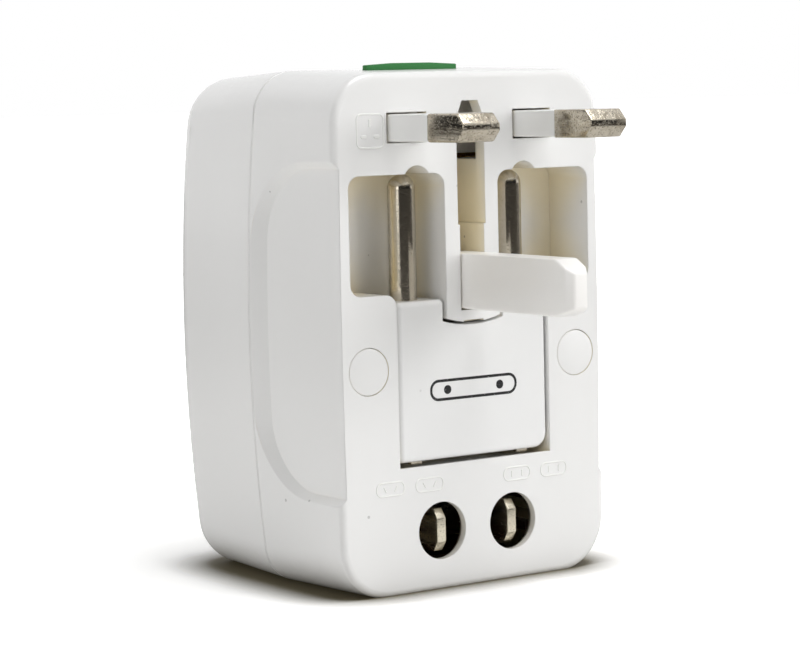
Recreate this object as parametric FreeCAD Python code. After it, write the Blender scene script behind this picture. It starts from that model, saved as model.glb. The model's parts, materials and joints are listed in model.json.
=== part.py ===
import FreeCAD, Part
import math
import os

# A travel adapter: a block-shaped plug housing with slide-out and fold-out pins on its front and a
# universal socket on its back. Sizes are in millimetres. X runs to the right seen from the plug side,
# Z runs up, and depths run into the body along Y from the plug face. When the pieces are written they
# move forward by half the body's depth, so the origin is the centre of the flat end it stands on.

# Body
BODY_HEIGHT = 74.0
TOP_RISE = 0.6
BACK_TOP_FALL = 0.4
BODY_DEPTH = 44.0
SEAM_DEPTH = 21.0
SEAM_HALF = 24.95
FACE_INSET = 1.1
BACK_INSET = 0.85
FACE_BOW = 0.25
SEAM_BOW = 1.5
BACK_BOW = 1.6
BOW_REACH = 29.5
FACE_LOW_CORNER = 8.0
FACE_HIGH_CORNER = 7.0
SEAM_LOW_CORNER = 6.0
SEAM_HIGH_CORNER = 7.0
BACK_CORNER = 8.0
FOOT_CUT = 0.3
FACE_EDGE = 1.0
BACK_EDGE = 4.5
SEAM_GROOVE = 0.2
WALL = 2.1

# Finger recess on each side of the front shell
GRIP_SINK = 0.95
GRIP_REACH = 20.6
GRIP_LOW = 13.5
GRIP_HIGH = 61.8
GRIP_CORNER = 12.5
GRIP_BEVEL = 3.0
GRIP_END_BEVEL = 1.1

# Recess for the folding plug: a pocket for each round pin above a space for its slab
TUB_DEPTH = 9.0
TUB_FLOOR = 1.5
TUB_WALL = 2.0
POCKET_HALF = 21.3
POCKET_LOW = 42.8
POCKET_HIGH = 59.66
POCKET_CORNER = 1.8
POST_HALF = 4.74
POST_FOOT_DROP = 1.79
POST_ARC_RISE = 0.75
FOOT_NOTCH_HALF = 1.75
FOOT_NOTCH_TALL = 0.35
FOOT_NOTCH_DEPTH = 1.5
SLAB_RECESS_HALF = 13.5
SLAB_RECESS_LOW = 17.99
SLAB_RECESS_UNDERCUT = 0.4
SLAB_RECESS_LIP = 0.6
TIP_NOTCH_R = 2.4
TIP_NOTCH_DEPTH = 7.0
TIP_NOTCH_DROP = 1.1
TUB_TOP = 61.35

# Slot in the post for the folded earth pin
SLOT_HALF = 2.45
SLOT_NECK_HALF = 2.15
SLOT_NECK_TOP = 52.14
SLOT_TAPER_START = 67.3
SLOT_TOP = 69.78
SLOT_TOP_HALF = 1.4
SLOT_FLOOR_DEPTH = 9.3
BRACKET_TOP = 50.75
BRACKET_GAP = 0.3

# Sliding three-pin plug
UK_PIN_X = 11.1
UK_PIN_DROP = 7.76
UK_PIN_WIDE = 6.35
UK_PIN_TALL = 3.98
UK_PIN_OUT = 17.7
UK_SLEEVE_OUT = 9.3
UK_SLEEVE_STEP = 0.1
UK_CORE_WIDE = 4.75
UK_CORE_TALL = 2.6
UK_TIP = 1.4
UK_TIP_FLAT = 1.0
UK_TANG_WIDE = 3.6
UK_TANG_TALL = 2.0
UK_TANG_DEPTH = 17.0
UK_WINDOW_SIDE_GAP = 0.27
UK_WINDOW_END_GAP = 0.15
UK_TRAVEL = 18.0
UK_BAR_DEPTH = 9.3
UK_BAR_THICK = 6.0
UK_BAR_HALF = 15.2
UK_BAR_UNDER = 4.19
UK_BAR_OVER = 3.96
UK_SEAT = 2.0
UK_EAR = 2.6
UK_EAR_TALL = 2.5
UK_LUG_HALF = 5.0
UK_LUG_TALL = 4.2
UK_LUG_BACK = 20.9

# Green knob that slides the three-pin plug
UK_KNOB_FRONT = 14.0
UK_KNOB_LONG = 8.0
UK_KNOB_HALF = 8.15
UK_KNOB_RISE = 1.4
UK_KNOB_PLATE_RISE = 0.45
UK_KNOB_LIP = 1.0
UK_KNOB_SLOPE = 0.25
UK_KNOB_FLAT_HALF = 3.3
UK_TRACK_SINK = 0.6
TRACK_GAP = 0.3
TRACK_LIFT = 0.15
STEM_HALF = 2.5
STEM_LONG = 4.0
STEM_GAP = 0.25
STEM_SEAT = 2.0
STEM_FIT = 0.05

# Folding earth pin
EARTH_HINGE_DEPTH = 2.6
EARTH_HINGE_Z = 42.0
EARTH_LOW = 1.96
EARTH_LOW_GAP = 0.2
EARTH_TALL = 8.0
EARTH_HALF = 2.0
EARTH_OUT = 24.6
EARTH_TIP = 3.1
EARTH_TIP_TOP = 1.85
EARTH_TIP_LOW = 1.2
EARTH_TIP_SIDE = 0.9
EARTH_TIP_SIDE_LONG = 1.3
AXLE_R = 0.75
AXLE_HALF = 3.9
AXLE_FIT = 0.05
BRACKET_THICK = 2.0
BRACKET_HALF = 7.6
BRACKET_LOW = 36.0
PEG_R = 0.9
PEG_FIT = 0.05

# Folding two-pin plug: a slab with two round pins
EU_HINGE_DEPTH = 2.5
EU_HINGE_Z = 21.0
SLAB_FRONT = 0.2
SLAB_THICK = 7.6
SLAB_HALF = 13.25
SLAB_LOW = 18.65
SLAB_HIGH = 41.57
SLAB_EDGE = 0.8
SLAB_CORNER = 2.2
SLAB_NOTCH_HALF = 5.4
SLAB_NOTCH_GAP = 0.2
EU_PIN_X = 9.5
EU_PIN_R = 2.0
EU_PIN_TOP = 59.55
EU_PIN_ROOT = 26.0
EU_COLLAR_R = 2.6
EU_COLLAR_LOW = 29.0
EU_COLLAR_TALL = 2.0
EU_TAIL_HALF = 0.95
EU_TAIL_FRONT = 1.6
EU_TAIL_THICK = 0.8
EU_TAIL_LOW = 18.1
EU_TAIL_OVERLAP = 2.0
EU_RELIEF_HALF = 1.6
EU_RELIEF_FRONT = 4.5
EU_RELIEF_HIGH = 22.6
TRUNNION_R = 1.5
TRUNNION_FIT = 0.08
TRUNNION_END_GAP = 0.3

# Flat blades on turning rotors in a sliding carriage
BLADE_X = 6.35
BLADE_Z = 8.41
BLADE_HOLE_R = 4.15
BLADE_HOLE_RIM = 1.1
BLADE_HOLE_RELIEF = 0.5
BLADE_WALL_HALF = 12.2
BLADE_WALL_LOW = 3.4
BLADE_WALL_HIGH = 13.6
BLADE_TALL = 6.2
BLADE_THICK = 1.5
BLADE_TIP = 0.2
BLADE_TIP_LONG = 1.0
BLADE_TIP_TALL = 1.4
BLADE_ROOT = 24.0
BLADE_TRAVEL = 17.2
ROTOR_GAP = 0.5
ROTOR_FRONT = 17.3
ROTOR_DISC_THICK = 2.0
ROTOR_HUB_R = 2.6
ROTOR_HUB_FIT = 0.06
ROTOR_END_GAP = 0.2
BLADE_TAIL_R = 1.2
BLADE_HEAD_R = 1.8
BLADE_HEAD_THICK = 0.8
CARRIAGE_THICK = 10.0
CARRIAGE_HALF = 13.0
CARRIAGE_LOW = 3.6
CARRIAGE_HIGH = 13.0
CARRIAGE_EAR = 1.5
CARRIAGE_EAR_LOW = 7.0
CARRIAGE_EAR_TALL = 3.0
BLADE_KNOB_FRONT = 23.0
BLADE_KNOB_LONG = 8.0
BLADE_KNOB_HALF = 8.0
BLADE_KNOB_LOW = 0.25
BLADE_KNOB_THICK = 1.0
BLADE_TRACK_ROOF = 1.4
FLOOR_PAD_TOP = 3.3
FLOOR_PAD_HALF = 11.0
KNOB_RIDGES = 4
RIDGE_DEEP = 0.35
RIDGE_LONG = 0.6

# Guide rails in both shells
RAIL_GAP = 0.25
RAIL_THICK = 1.3
RAIL_HALF_START = 0.6
RAIL_FRONT = 6.0
RAIL_BACK_GAP = 4.0
RAIL_SEAM_GAP = 0.5

# Screws, bosses and caps
CAP_MARGIN = 1.6
SCREW_Z = 32.2
CAP_R = 3.4
CAP_FIT = 0.05
CAP_THICK = 1.2
BOSS_R = 3.9
REAR_BOSS_R = 3.0
SCREW_R = 1.25
SCREW_FIT = 0.15
SCREW_HEAD_R = 2.5
SCREW_HEAD_TALL = 1.8
SCREW_HEAD_FIT = 0.3
SCREW_SEAT_DEPTH = 10.5
SCREW_END = 33.0
SCREW_CROSS = 2.6
SCREW_CROSS_WIDE = 0.7
SCREW_CROSS_DEEP = 0.9

# Locating lips of the rear shell, inside the front shell's wall
LIP_FIT = 0.05
LIP_THICK = 0.9
LIP_REACH = 1.5
LIP_ROOT = 2.0
LIP_SPANS = ((15.0, 26.0), (42.0, 56.0))

# Conducting strips
STRIP = 0.5
BUS_INNER = 8.2
BUS_OUTER = 12.6
BUS_LOW = 14.15
BUS_DROP = 1.45
BUS_HIGH_PAD = 6.5
BUS_LOW_PAD = 3.0
BUS_PEGS = (30.0, 50.0)
BUS_PEG_X = 11.4
PEG_STAND = 1.2
FINGER_TIP = 5.85
FINGER_LOW = 19.3
FINGER_TOP = 21.2
FINGER_WIDE = 2.4
FINGER_LEAD = 0.45
FINGER_WINDOW_GAP = 0.7
WIPER_GAP = 0.35
WIPER_HALF = 1.5
WIPER_FRONT = 12.5
BLADE_WIPER_INNER = 4.2
BLADE_WIPER_FOOT = 8.3
BLADE_WIPER_OUTER = 11.3
BLADE_WIPER_LOW = 6.0
BLADE_WIPER_REACH = 3.0
TAIL_FIT = 0.1

# Socket side
SOCKET_Z = 24.0
SOCKET_EARTH_RISE = 22.2
UK_SLOT_HALF_WIDE = 3.3
UK_SLOT_HALF_TALL = 2.2
EU_HOLE_R = 2.6
US_SLOT_HALF_WIDE = 0.95
US_SLOT_HALF_TALL = 3.4
EARTH_SLOT_HALF_WIDE = 2.2
EARTH_SLOT_HALF_TALL = 4.2
INSERT_FRONT = 22.5
INSERT_HALF = 15.9
INSERT_HALF_TALL = 5.4
INSERT_FLOOR = 1.5
CHAMBER_INNER = 4.9
CHAMBER_OUTER = 14.9
CHAMBER_HALF_TALL = 3.9
LEAF_GAP = 2.55
LEAF_START = 8.0
LEAF_END = 14.4
LEAF_FRONT_GAP = 3.0
CONTACT_TAIL_WIDE = 3.0
CONTACT_TAIL_FIT = 0.1

# Values worked out from those above
FACE_HALF = SEAM_HALF - FACE_INSET
BACK_HALF = SEAM_HALF - BACK_INSET
SCREW_X = SLAB_RECESS_HALF + CAP_MARGIN + CAP_R
UK_PIN_Z = BODY_HEIGHT - UK_PIN_DROP
UK_BAR_LOW = UK_PIN_Z - UK_BAR_UNDER
UK_BAR_HIGH = UK_PIN_Z + UK_BAR_OVER
BUS_HIGH = UK_BAR_LOW - BUS_DROP
UK_KNOB_TOP = BODY_HEIGHT + UK_KNOB_RISE
UK_KNOB_PLATE_TOP = BODY_HEIGHT + UK_KNOB_PLATE_RISE
UK_TRACK_FLOOR = BODY_HEIGHT - UK_TRACK_SINK
TUB_BACK = TUB_DEPTH + TUB_FLOOR
UK_BAR_BACK = UK_BAR_DEPTH + UK_BAR_THICK
UK_STEM_FRONT = UK_LUG_BACK - STEM_LONG - (UK_LUG_BACK - UK_BAR_BACK - STEM_LONG) / 2
SLAB_BACK = SLAB_FRONT + SLAB_THICK
SLOT_LOW = EARTH_HINGE_Z - EARTH_LOW - EARTH_LOW_GAP
POST_FOOT = SLOT_LOW - POST_FOOT_DROP
EU_PIN_DEPTH = SLAB_FRONT + SLAB_THICK / 2
ROTOR_R = BLADE_HOLE_R - ROTOR_GAP
CARRIAGE_FRONT = ROTOR_FRONT + ROTOR_DISC_THICK + ROTOR_END_GAP
CARRIAGE_BACK = CARRIAGE_FRONT + CARRIAGE_THICK
BACK_WALL = BODY_DEPTH - WALL
BUS_BACK = TUB_BACK + STRIP
CHAMBER_FRONT = INSERT_FRONT + INSERT_FLOOR
FAR = 100.0
OVER = 1.0
SKIN = 0.02
SIDES = (("left", -1), ("right", 1))

V = FreeCAD.Vector
X_AXIS = V(1, 0, 0)
Y_AXIS = V(0, 1, 0)
Z_AXIS = V(0, 0, 1)


def box(x0, x1, y0, y1, z0, z1):
    """A block between two corners."""
    return Part.makeBox(x1 - x0, y1 - y0, z1 - z0, V(x0, y0, z0))


def rod_x(r, y, z, x0, x1):
    """A cylinder along X."""
    return Part.makeCylinder(r, x1 - x0, V(x0, y, z), X_AXIS)


def rod_y(r, x, z, y0, y1):
    """A cylinder along Y."""
    return Part.makeCylinder(r, y1 - y0, V(x, y0, z), Y_AXIS)


def rod_z(r, x, y, z0, z1):
    """A cylinder along Z."""
    return Part.makeCylinder(r, z1 - z0, V(x, y, z0), Z_AXIS)


def prism_y(points, y0, y1):
    """A straight-sided block along Y whose section is a list of (x, z) points."""
    face = Part.Face(Part.makePolygon([V(x, y0, z) for x, z in points + points[:1]]))
    return face.extrude(V(0, y1 - y0, 0))


def prism_x(points, x0, x1):
    """A straight-sided block along X whose section is a list of (depth, z) points."""
    face = Part.Face(Part.makePolygon([V(x0, y, z) for y, z in points + points[:1]]))
    return face.extrude(V(x1 - x0, 0, 0))


def edges_along(shape, axis):
    """The straight edges of a shape that run along one axis."""
    found = []
    for edge in shape.Edges:
        way = edge.tangentAt(edge.FirstParameter)
        if abs(abs(way.dot(axis)) - 1) < 1e-6:
            found.append(edge)
    return found


def round_box_y(x0, x1, y0, y1, z0, z1, r):
    """A block whose four edges along Y are rounded."""
    block = box(x0, x1, y0, y1, z0, z1)
    return block.makeFillet(r, edges_along(block, Y_AXIS))


def mirrored(shape):
    """The same shape on the other side of the middle plane."""
    return shape.mirror(V(0, 0, 0), X_AXIS)


def on_side(shape, side):
    """A shape made on the right, on the side that is asked for."""
    return shape if side > 0 else mirrored(shape)


def both(shape):
    """A shape made on the right, with its mirror image."""
    return shape.fuse(mirrored(shape))


class Outline:
    """The body's outline at one depth: straight ends, bowed sides and round corners."""

    def __init__(self, depth, half, radius, low, high, low_corner, high_corner):
        self.depth = depth
        self.half = half
        self.radius = radius
        self.low = low
        self.high = high
        self.low_corner = low_corner
        self.high_corner = high_corner
        self.middle = BODY_HEIGHT / 2
        self.centre = half - radius

    def half_at(self, z):
        """Half the outline's width at one height along its bowed side."""
        return self.centre + math.sqrt(self.radius**2 - (z - self.middle) ** 2)

    def inset(self, by, depth):
        """The outline of a wall's inner face, at the same or another depth."""
        return Outline(
            depth,
            self.half - by,
            self.radius - by,
            self.low + by,
            self.high - by,
            self.low_corner - by,
            self.high_corner - by,
        )

    def corner(self, up):
        """Where the right-hand corner starts on the side, its middle and its end."""
        r = self.high_corner if up else self.low_corner
        z = self.high - r if up else self.low + r
        x = self.centre + math.sqrt((self.radius - r) ** 2 - (z - self.middle) ** 2)
        outward = V(x - self.centre, 0, z - self.middle).normalize()
        onward = V(0, 0, 1 if up else -1)
        between = (outward + onward).normalize()
        centre = V(x, self.depth, z)
        return centre + outward * r, centre + between * r, centre + onward * r

    def wire(self):
        """The closed outline."""
        low_side, low_mid, low_end = self.corner(False)
        high_side, high_mid, high_end = self.corner(True)
        side_mid = V(self.half, self.depth, self.middle)
        right = [
            Part.Arc(low_end, low_mid, low_side).toShape(),
            Part.Arc(low_side, side_mid, high_side).toShape(),
            Part.Arc(high_side, high_mid, high_end).toShape(),
        ]
        left = [mirrored(edge) for edge in reversed(right)]
        low = Part.LineSegment(V(-low_end.x, low_end.y, low_end.z), low_end).toShape()
        high = Part.LineSegment(high_end, V(-high_end.x, high_end.y, high_end.z)).toShape()
        return Part.Wire([low] + right + [high] + left)


def bow_radius(bow):
    """The radius of a side that falls back by the bow over the bow's reach."""
    return (BOW_REACH**2 + bow**2) / (2 * bow)


FACE = Outline(
    0, FACE_HALF, bow_radius(FACE_BOW), -FOOT_CUT, BODY_HEIGHT, FACE_LOW_CORNER, FACE_HIGH_CORNER
)
SEAM = Outline(
    SEAM_DEPTH,
    SEAM_HALF,
    bow_radius(SEAM_BOW),
    -FOOT_CUT,
    BODY_HEIGHT + TOP_RISE,
    SEAM_LOW_CORNER,
    SEAM_HIGH_CORNER,
)
BACK = Outline(
    BODY_DEPTH,
    BACK_HALF,
    bow_radius(BACK_BOW),
    -FOOT_CUT,
    BODY_HEIGHT - BACK_TOP_FALL,
    BACK_CORNER,
    BACK_CORNER,
)


def loft(*outlines):
    """The straight-sided solid from one outline to the next."""
    return Part.makeLoft([outline.wire() for outline in outlines], True, True)


def edges_at_depth(shape, depth):
    """The edges of a shape that lie in the plane at one depth."""
    found = []
    for edge in shape.Edges:
        span = edge.BoundBox
        if abs(span.YMin - depth) < 1e-4 and abs(span.YMax - depth) < 1e-4:
            found.append(edge)
    return found


def above_foot(shape):
    """The part of a shape that is above the plane the adapter stands on."""
    return shape.common(box(-FAR, FAR, -FAR, FAR, 0, FAR))


def front_block():
    """The outside of the front shell, filled."""
    block = loft(FACE, SEAM.inset(0, SEAM_DEPTH - SEAM_GROOVE), SEAM.inset(SEAM_GROOVE, SEAM_DEPTH))
    block = block.makeFillet(FACE_EDGE, edges_at_depth(block, 0))
    return above_foot(block)


def rear_block():
    """The outside of the rear shell, filled."""
    block = loft(SEAM.inset(SEAM_GROOVE, SEAM_DEPTH), SEAM.inset(0, SEAM_DEPTH + SEAM_GROOVE), BACK)
    block = block.makeFillet(BACK_EDGE, edges_at_depth(block, BODY_DEPTH))
    return above_foot(block)


def surface_x(depth, z):
    """How far the front shell's side stands from the middle plane."""
    share = depth / SEAM_DEPTH
    return (1 - share) * FACE.half_at(z) + share * SEAM.half_at(z)


def span(start, middle, end):
    """An arc through three points, or a line where they are in line."""
    straight = (middle - start).cross(end - middle).Length < 1e-6
    if straight:
        return Part.LineSegment(start, end).toShape()
    return Part.Arc(start, middle, end).toShape()


def grip_wire(reach, low, high, corner, x_at):
    """A finger recess's outline, open past the plug face, on a surface whose x is a function."""
    bend = corner * (1 - math.sqrt(0.5))

    def point(depth, z):
        return V(x_at(depth, z), depth, z)

    start = -OVER
    turn = reach - corner
    middle = (low + high) / 2
    edges = [
        span(point(start, low), point((start + turn) / 2, low), point(turn, low)),
        span(point(turn, low), point(reach - bend, low + bend), point(reach, low + corner)),
        span(point(reach, low + corner), point(reach, middle), point(reach, high - corner)),
        span(point(reach, high - corner), point(reach - bend, high - bend), point(turn, high)),
        span(point(turn, high), point((start + turn) / 2, high), point(start, high)),
        span(point(start, high), point(start, middle), point(start, low)),
    ]
    return Part.Wire(edges)


def grip_cutter():
    """What the finger recess takes from the right side: a sunk floor inside a wide bevel."""
    inner_corner = GRIP_CORNER - (GRIP_BEVEL + GRIP_END_BEVEL) / 2
    outer = (GRIP_REACH, GRIP_LOW, GRIP_HIGH, GRIP_CORNER)
    inner = (
        GRIP_REACH - GRIP_BEVEL,
        GRIP_LOW + GRIP_END_BEVEL,
        GRIP_HIGH - GRIP_END_BEVEL,
        inner_corner,
    )
    wires = [
        grip_wire(*outer, lambda depth, z: SEAM_HALF + OVER),
        grip_wire(*outer, lambda depth, z: surface_x(depth, z) + SKIN),
        grip_wire(*inner, lambda depth, z: surface_x(depth, z) - GRIP_SINK - SKIN),
        grip_wire(*inner, lambda depth, z: FACE_HALF / 2),
    ]
    cutter = Part.makeLoft(wires, True, True)
    sunk_face = Outline(
        -OVER,
        FACE.half - GRIP_SINK,
        FACE.radius - GRIP_SINK,
        -OVER,
        BODY_HEIGHT,
        FACE_LOW_CORNER,
        FACE_HIGH_CORNER,
    )
    sunk_seam = Outline(
        SEAM_DEPTH,
        SEAM.half - GRIP_SINK,
        SEAM.radius - GRIP_SINK,
        -OVER,
        BODY_HEIGHT,
        FACE_LOW_CORNER,
        FACE_HIGH_CORNER,
    )
    return cutter.cut(loft(sunk_face, sunk_seam))


def wall_core(first, second):
    """The body out to the middle of its wall, where ribs and rails end."""
    return loft(first.inset(WALL / 2, first.depth), second.inset(WALL / 2, second.depth))


def rails(half_start, low, high, y0, y1, block):
    """Two rails on each side wall, one under and one over what slides between them."""
    lower = box(half_start, FAR, y0, y1, low - RAIL_GAP - RAIL_THICK, low - RAIL_GAP)
    upper = box(half_start, FAR, y0, y1, high + RAIL_GAP, high + RAIL_GAP + RAIL_THICK)
    return both(lower.fuse(upper)).common(block)


def all_rails(y0, y1, block):
    """The rails of the three-pin carriage and of the blade carriage."""
    ear_low = UK_PIN_Z - UK_EAR_TALL / 2
    upper = rails(UK_BAR_HALF + RAIL_HALF_START, ear_low, ear_low + UK_EAR_TALL, y0, y1, block)
    lower = rails(
        CARRIAGE_HALF + RAIL_HALF_START / 2,
        CARRIAGE_EAR_LOW,
        CARRIAGE_EAR_LOW + CARRIAGE_EAR_TALL,
        y0,
        y1,
        block,
    )
    return upper.fuse(lower)


def knob_ways():
    """The tracks and slots in the top and bottom walls where the two knobs slide."""
    back = UK_KNOB_FRONT + UK_KNOB_LONG + UK_TRAVEL + TRACK_GAP
    half = UK_KNOB_HALF + TRACK_GAP
    top = box(-half, half, UK_KNOB_FRONT - TRACK_GAP, back, UK_TRACK_FLOOR, FAR)
    slot_half = STEM_HALF + STEM_GAP
    slot_back = UK_STEM_FRONT + STEM_LONG + UK_TRAVEL + STEM_GAP
    slot_front = UK_STEM_FRONT - STEM_GAP
    top_slot = box(-slot_half, slot_half, slot_front, slot_back, UK_BAR_HIGH, FAR)
    front = BLADE_KNOB_FRONT - BLADE_TRAVEL - TRACK_GAP
    half = BLADE_KNOB_HALF + TRACK_GAP
    back = BLADE_KNOB_FRONT + BLADE_KNOB_LONG + TRACK_GAP
    bottom = box(-half, half, front, back, -OVER, BLADE_TRACK_ROOF)
    stem = blade_stem_front()
    slot_front = stem - BLADE_TRAVEL - STEM_GAP
    slot_back = stem + STEM_LONG + STEM_GAP
    bottom_slot = box(-slot_half, slot_half, slot_front, slot_back, -OVER, FLOOR_PAD_TOP + SKIN)
    return top.fuse([top_slot, bottom, bottom_slot])


def blade_stem_front():
    """The front of the lower knob's stem, which stands in the middle of its plate."""
    return BLADE_KNOB_FRONT + (BLADE_KNOB_LONG - STEM_LONG) / 2


def post_block():
    """The post between the pockets, with the shallow arc of its foot."""
    arc_end = POST_FOOT + POST_ARC_RISE
    foot = Part.Arc(V(-POST_HALF, 0, arc_end), V(0, 0, POST_FOOT), V(POST_HALF, 0, arc_end))
    corners = [
        V(POST_HALF, 0, arc_end),
        V(POST_HALF, 0, TUB_TOP),
        V(-POST_HALF, 0, TUB_TOP),
        V(-POST_HALF, 0, arc_end),
    ]
    wire = Part.Wire([foot.toShape()] + Part.makePolygon(corners).Edges)
    return Part.Face(wire).extrude(V(0, TUB_BACK, 0))


def recess_space():
    """The open space of the two pockets and of the slab's recess."""
    top = POCKET_LOW + POCKET_CORNER
    slab = box(-SLAB_RECESS_HALF, SLAB_RECESS_HALF, -OVER, TUB_DEPTH, SLAB_RECESS_LOW, top)
    under = box(
        -SLAB_RECESS_HALF,
        SLAB_RECESS_HALF,
        SLAB_RECESS_LIP,
        TUB_DEPTH,
        SLAB_RECESS_LOW - SLAB_RECESS_UNDERCUT,
        EU_HINGE_Z,
    )
    pocket = round_box_y(
        POST_HALF, POCKET_HALF, -OVER, TUB_DEPTH, POCKET_LOW, POCKET_HIGH, POCKET_CORNER
    )
    shoulder = box(
        SLAB_RECESS_HALF,
        SLAB_RECESS_HALF + POCKET_CORNER,
        -OVER,
        TUB_DEPTH,
        POCKET_LOW - POCKET_CORNER,
        POCKET_LOW,
    )
    shoulder = shoulder.cut(
        rod_y(
            POCKET_CORNER,
            SLAB_RECESS_HALF + POCKET_CORNER,
            POCKET_LOW - POCKET_CORNER,
            -OVER,
            TUB_DEPTH,
        )
    )
    notch_z = EU_PIN_TOP - TIP_NOTCH_DROP
    notch = rod_y(TIP_NOTCH_R, EU_PIN_X, notch_z, -OVER, TIP_NOTCH_DEPTH)
    foot_notch = box(
        -FOOT_NOTCH_HALF,
        FOOT_NOTCH_HALF,
        -OVER,
        FOOT_NOTCH_DEPTH,
        POST_FOOT - OVER,
        POST_FOOT + FOOT_NOTCH_TALL,
    )
    right = pocket.fuse([shoulder, notch])
    return slab.fuse([under, both(right)]).cut(post_block()).fuse(foot_notch)


def earth_slot():
    """The slot for the folded earth pin, from the post's foot to above the pockets."""
    upper = prism_y(
        [
            (-SLOT_HALF, SLOT_NECK_TOP),
            (SLOT_HALF, SLOT_NECK_TOP),
            (SLOT_HALF, SLOT_TAPER_START),
            (SLOT_TOP_HALF, SLOT_TOP),
            (-SLOT_TOP_HALF, SLOT_TOP),
            (-SLOT_HALF, SLOT_TAPER_START),
        ],
        -OVER,
        SLOT_FLOOR_DEPTH,
    )
    neck = box(
        -SLOT_NECK_HALF, SLOT_NECK_HALF, -OVER, SLOT_FLOOR_DEPTH, SLOT_LOW, SLOT_NECK_TOP
    )
    open_back = box(
        -SLOT_NECK_HALF,
        SLOT_NECK_HALF,
        -OVER,
        TUB_BACK + OVER,
        SLOT_LOW,
        BRACKET_TOP + BRACKET_GAP,
    )
    seat_r = AXLE_R + AXLE_FIT
    seat_half = AXLE_HALF + AXLE_FIT
    seat = rod_x(seat_r, EARTH_HINGE_DEPTH, EARTH_HINGE_Z, -seat_half, seat_half)
    way_in = box(
        -seat_half,
        seat_half,
        EARTH_HINGE_DEPTH,
        TUB_BACK + OVER,
        EARTH_HINGE_Z - seat_r,
        EARTH_HINGE_Z + seat_r,
    )
    return upper.fuse([neck, open_back, seat, way_in])


def tub_block():
    """The moulded wall and floor round the recess, filled."""
    low = SLAB_RECESS_LOW - SLAB_RECESS_UNDERCUT - TUB_FLOOR
    half = SLAB_RECESS_HALF + TUB_WALL
    slab = box(-half, half, 0, TUB_BACK, low, POCKET_LOW)
    half = POCKET_HALF + TUB_WALL
    pockets = box(-half, half, 0, TUB_BACK, POCKET_LOW - TUB_FLOOR, TUB_TOP)
    return slab.fuse(pockets)


def pegs():
    """The pegs behind the recess that hold the bracket and the bus strips."""
    shapes = []
    for x, z in bracket_pegs():
        shapes.append(rod_y(PEG_R, x, z, TUB_BACK - SKIN, TUB_BACK + BRACKET_THICK + PEG_STAND))
    for z in BUS_PEGS:
        for _, side in SIDES:
            end = BUS_BACK + PEG_STAND
            shapes.append(rod_y(PEG_R, side * BUS_PEG_X, z, TUB_BACK - SKIN, end))
    return shapes


def bracket_pegs():
    """Where the bracket's pegs are: clear of the slot, inside the bracket's outline."""
    x = (SLOT_HALF + BRACKET_HALF) / 2 + PEG_R
    low = BRACKET_LOW + 3 * PEG_R
    high = BRACKET_TOP - 3 * PEG_R
    return [(side * x, z) for _, side in SIDES for z in (low, high)]


def blade_wall_space():
    """The space of the front wall that holds both blade holes."""
    half = BLADE_WALL_HALF
    return box(-half, half, -OVER, WALL, BLADE_WALL_LOW, BLADE_WALL_HIGH)


def front_moulding():
    """The whole front shell with the recess, pin windows, blade holes and screw bosses."""
    block = front_block()
    hollow = loft(FACE.inset(WALL, WALL), SEAM.inset(WALL, SEAM_DEPTH + SKIN))
    shell = block.cut(hollow)
    boss = rod_y(BOSS_R, SCREW_X, SCREW_Z, WALL - SKIN, SEAM_DEPTH)
    pad = box(-FLOOR_PAD_HALF, FLOOR_PAD_HALF, WALL - SKIN, SEAM_DEPTH, 0, FLOOR_PAD_TOP)
    parts = [both(boss), tub_block().common(block), pad]
    parts.append(all_rails(RAIL_FRONT, SEAM_DEPTH - RAIL_SEAM_GAP, wall_core(FACE, SEAM)))
    shell = shell.fuse(parts + pegs())
    cuts = [recess_space(), earth_slot(), knob_ways(), both(grip_cutter())]
    for _, side in SIDES:
        cuts.append(
            box(
                side * UK_PIN_X - UK_PIN_WIDE / 2 - UK_WINDOW_SIDE_GAP,
                side * UK_PIN_X + UK_PIN_WIDE / 2 + UK_WINDOW_SIDE_GAP,
                -OVER,
                WALL + OVER,
                UK_PIN_Z - UK_PIN_TALL / 2 - UK_WINDOW_END_GAP,
                UK_PIN_Z + UK_PIN_TALL / 2 + UK_WINDOW_END_GAP,
            )
        )
        cuts.append(rod_y(BLADE_HOLE_R, side * BLADE_X, BLADE_Z, -OVER, WALL + OVER))
        relief_r = BLADE_HOLE_R + BLADE_HOLE_RELIEF
        cuts.append(rod_y(relief_r, side * BLADE_X, BLADE_Z, BLADE_HOLE_RIM, WALL + OVER))
        cuts.append(rod_y(CAP_R, side * SCREW_X, SCREW_Z, -OVER, CAP_THICK))
        head_r = SCREW_HEAD_R + SCREW_HEAD_FIT
        cuts.append(rod_y(head_r, side * SCREW_X, SCREW_Z, 0, SCREW_SEAT_DEPTH))
        shank_r = SCREW_R + SCREW_FIT
        cuts.append(rod_y(shank_r, side * SCREW_X, SCREW_Z, 0, SEAM_DEPTH + OVER))
        reach = side * (SLAB_RECESS_HALF + TUB_WALL + OVER)
        trunnion_r = TRUNNION_R + TRUNNION_FIT
        cuts.append(
            rod_x(trunnion_r, EU_HINGE_DEPTH, EU_HINGE_Z, min(0, reach), max(0, reach))
        )
        finger = side * (BUS_INNER + FINGER_WIDE / 2)
        half = FINGER_WIDE / 2 + FINGER_WINDOW_GAP
        cuts.append(
            box(
                finger - half,
                finger + half,
                TUB_DEPTH - OVER,
                TUB_BACK + SKIN,
                FINGER_LOW - FINGER_WINDOW_GAP,
                EU_RELIEF_HIGH,
            )
        )
    return shell.cut(cuts)


def front_shell():
    """The front shell without the part of its wall that holds the blade holes."""
    return front_moulding().cut(blade_wall_space())


def blade_wall():
    """The part of the front shell's wall that holds the blade holes."""
    return front_moulding().common(blade_wall_space())


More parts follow.
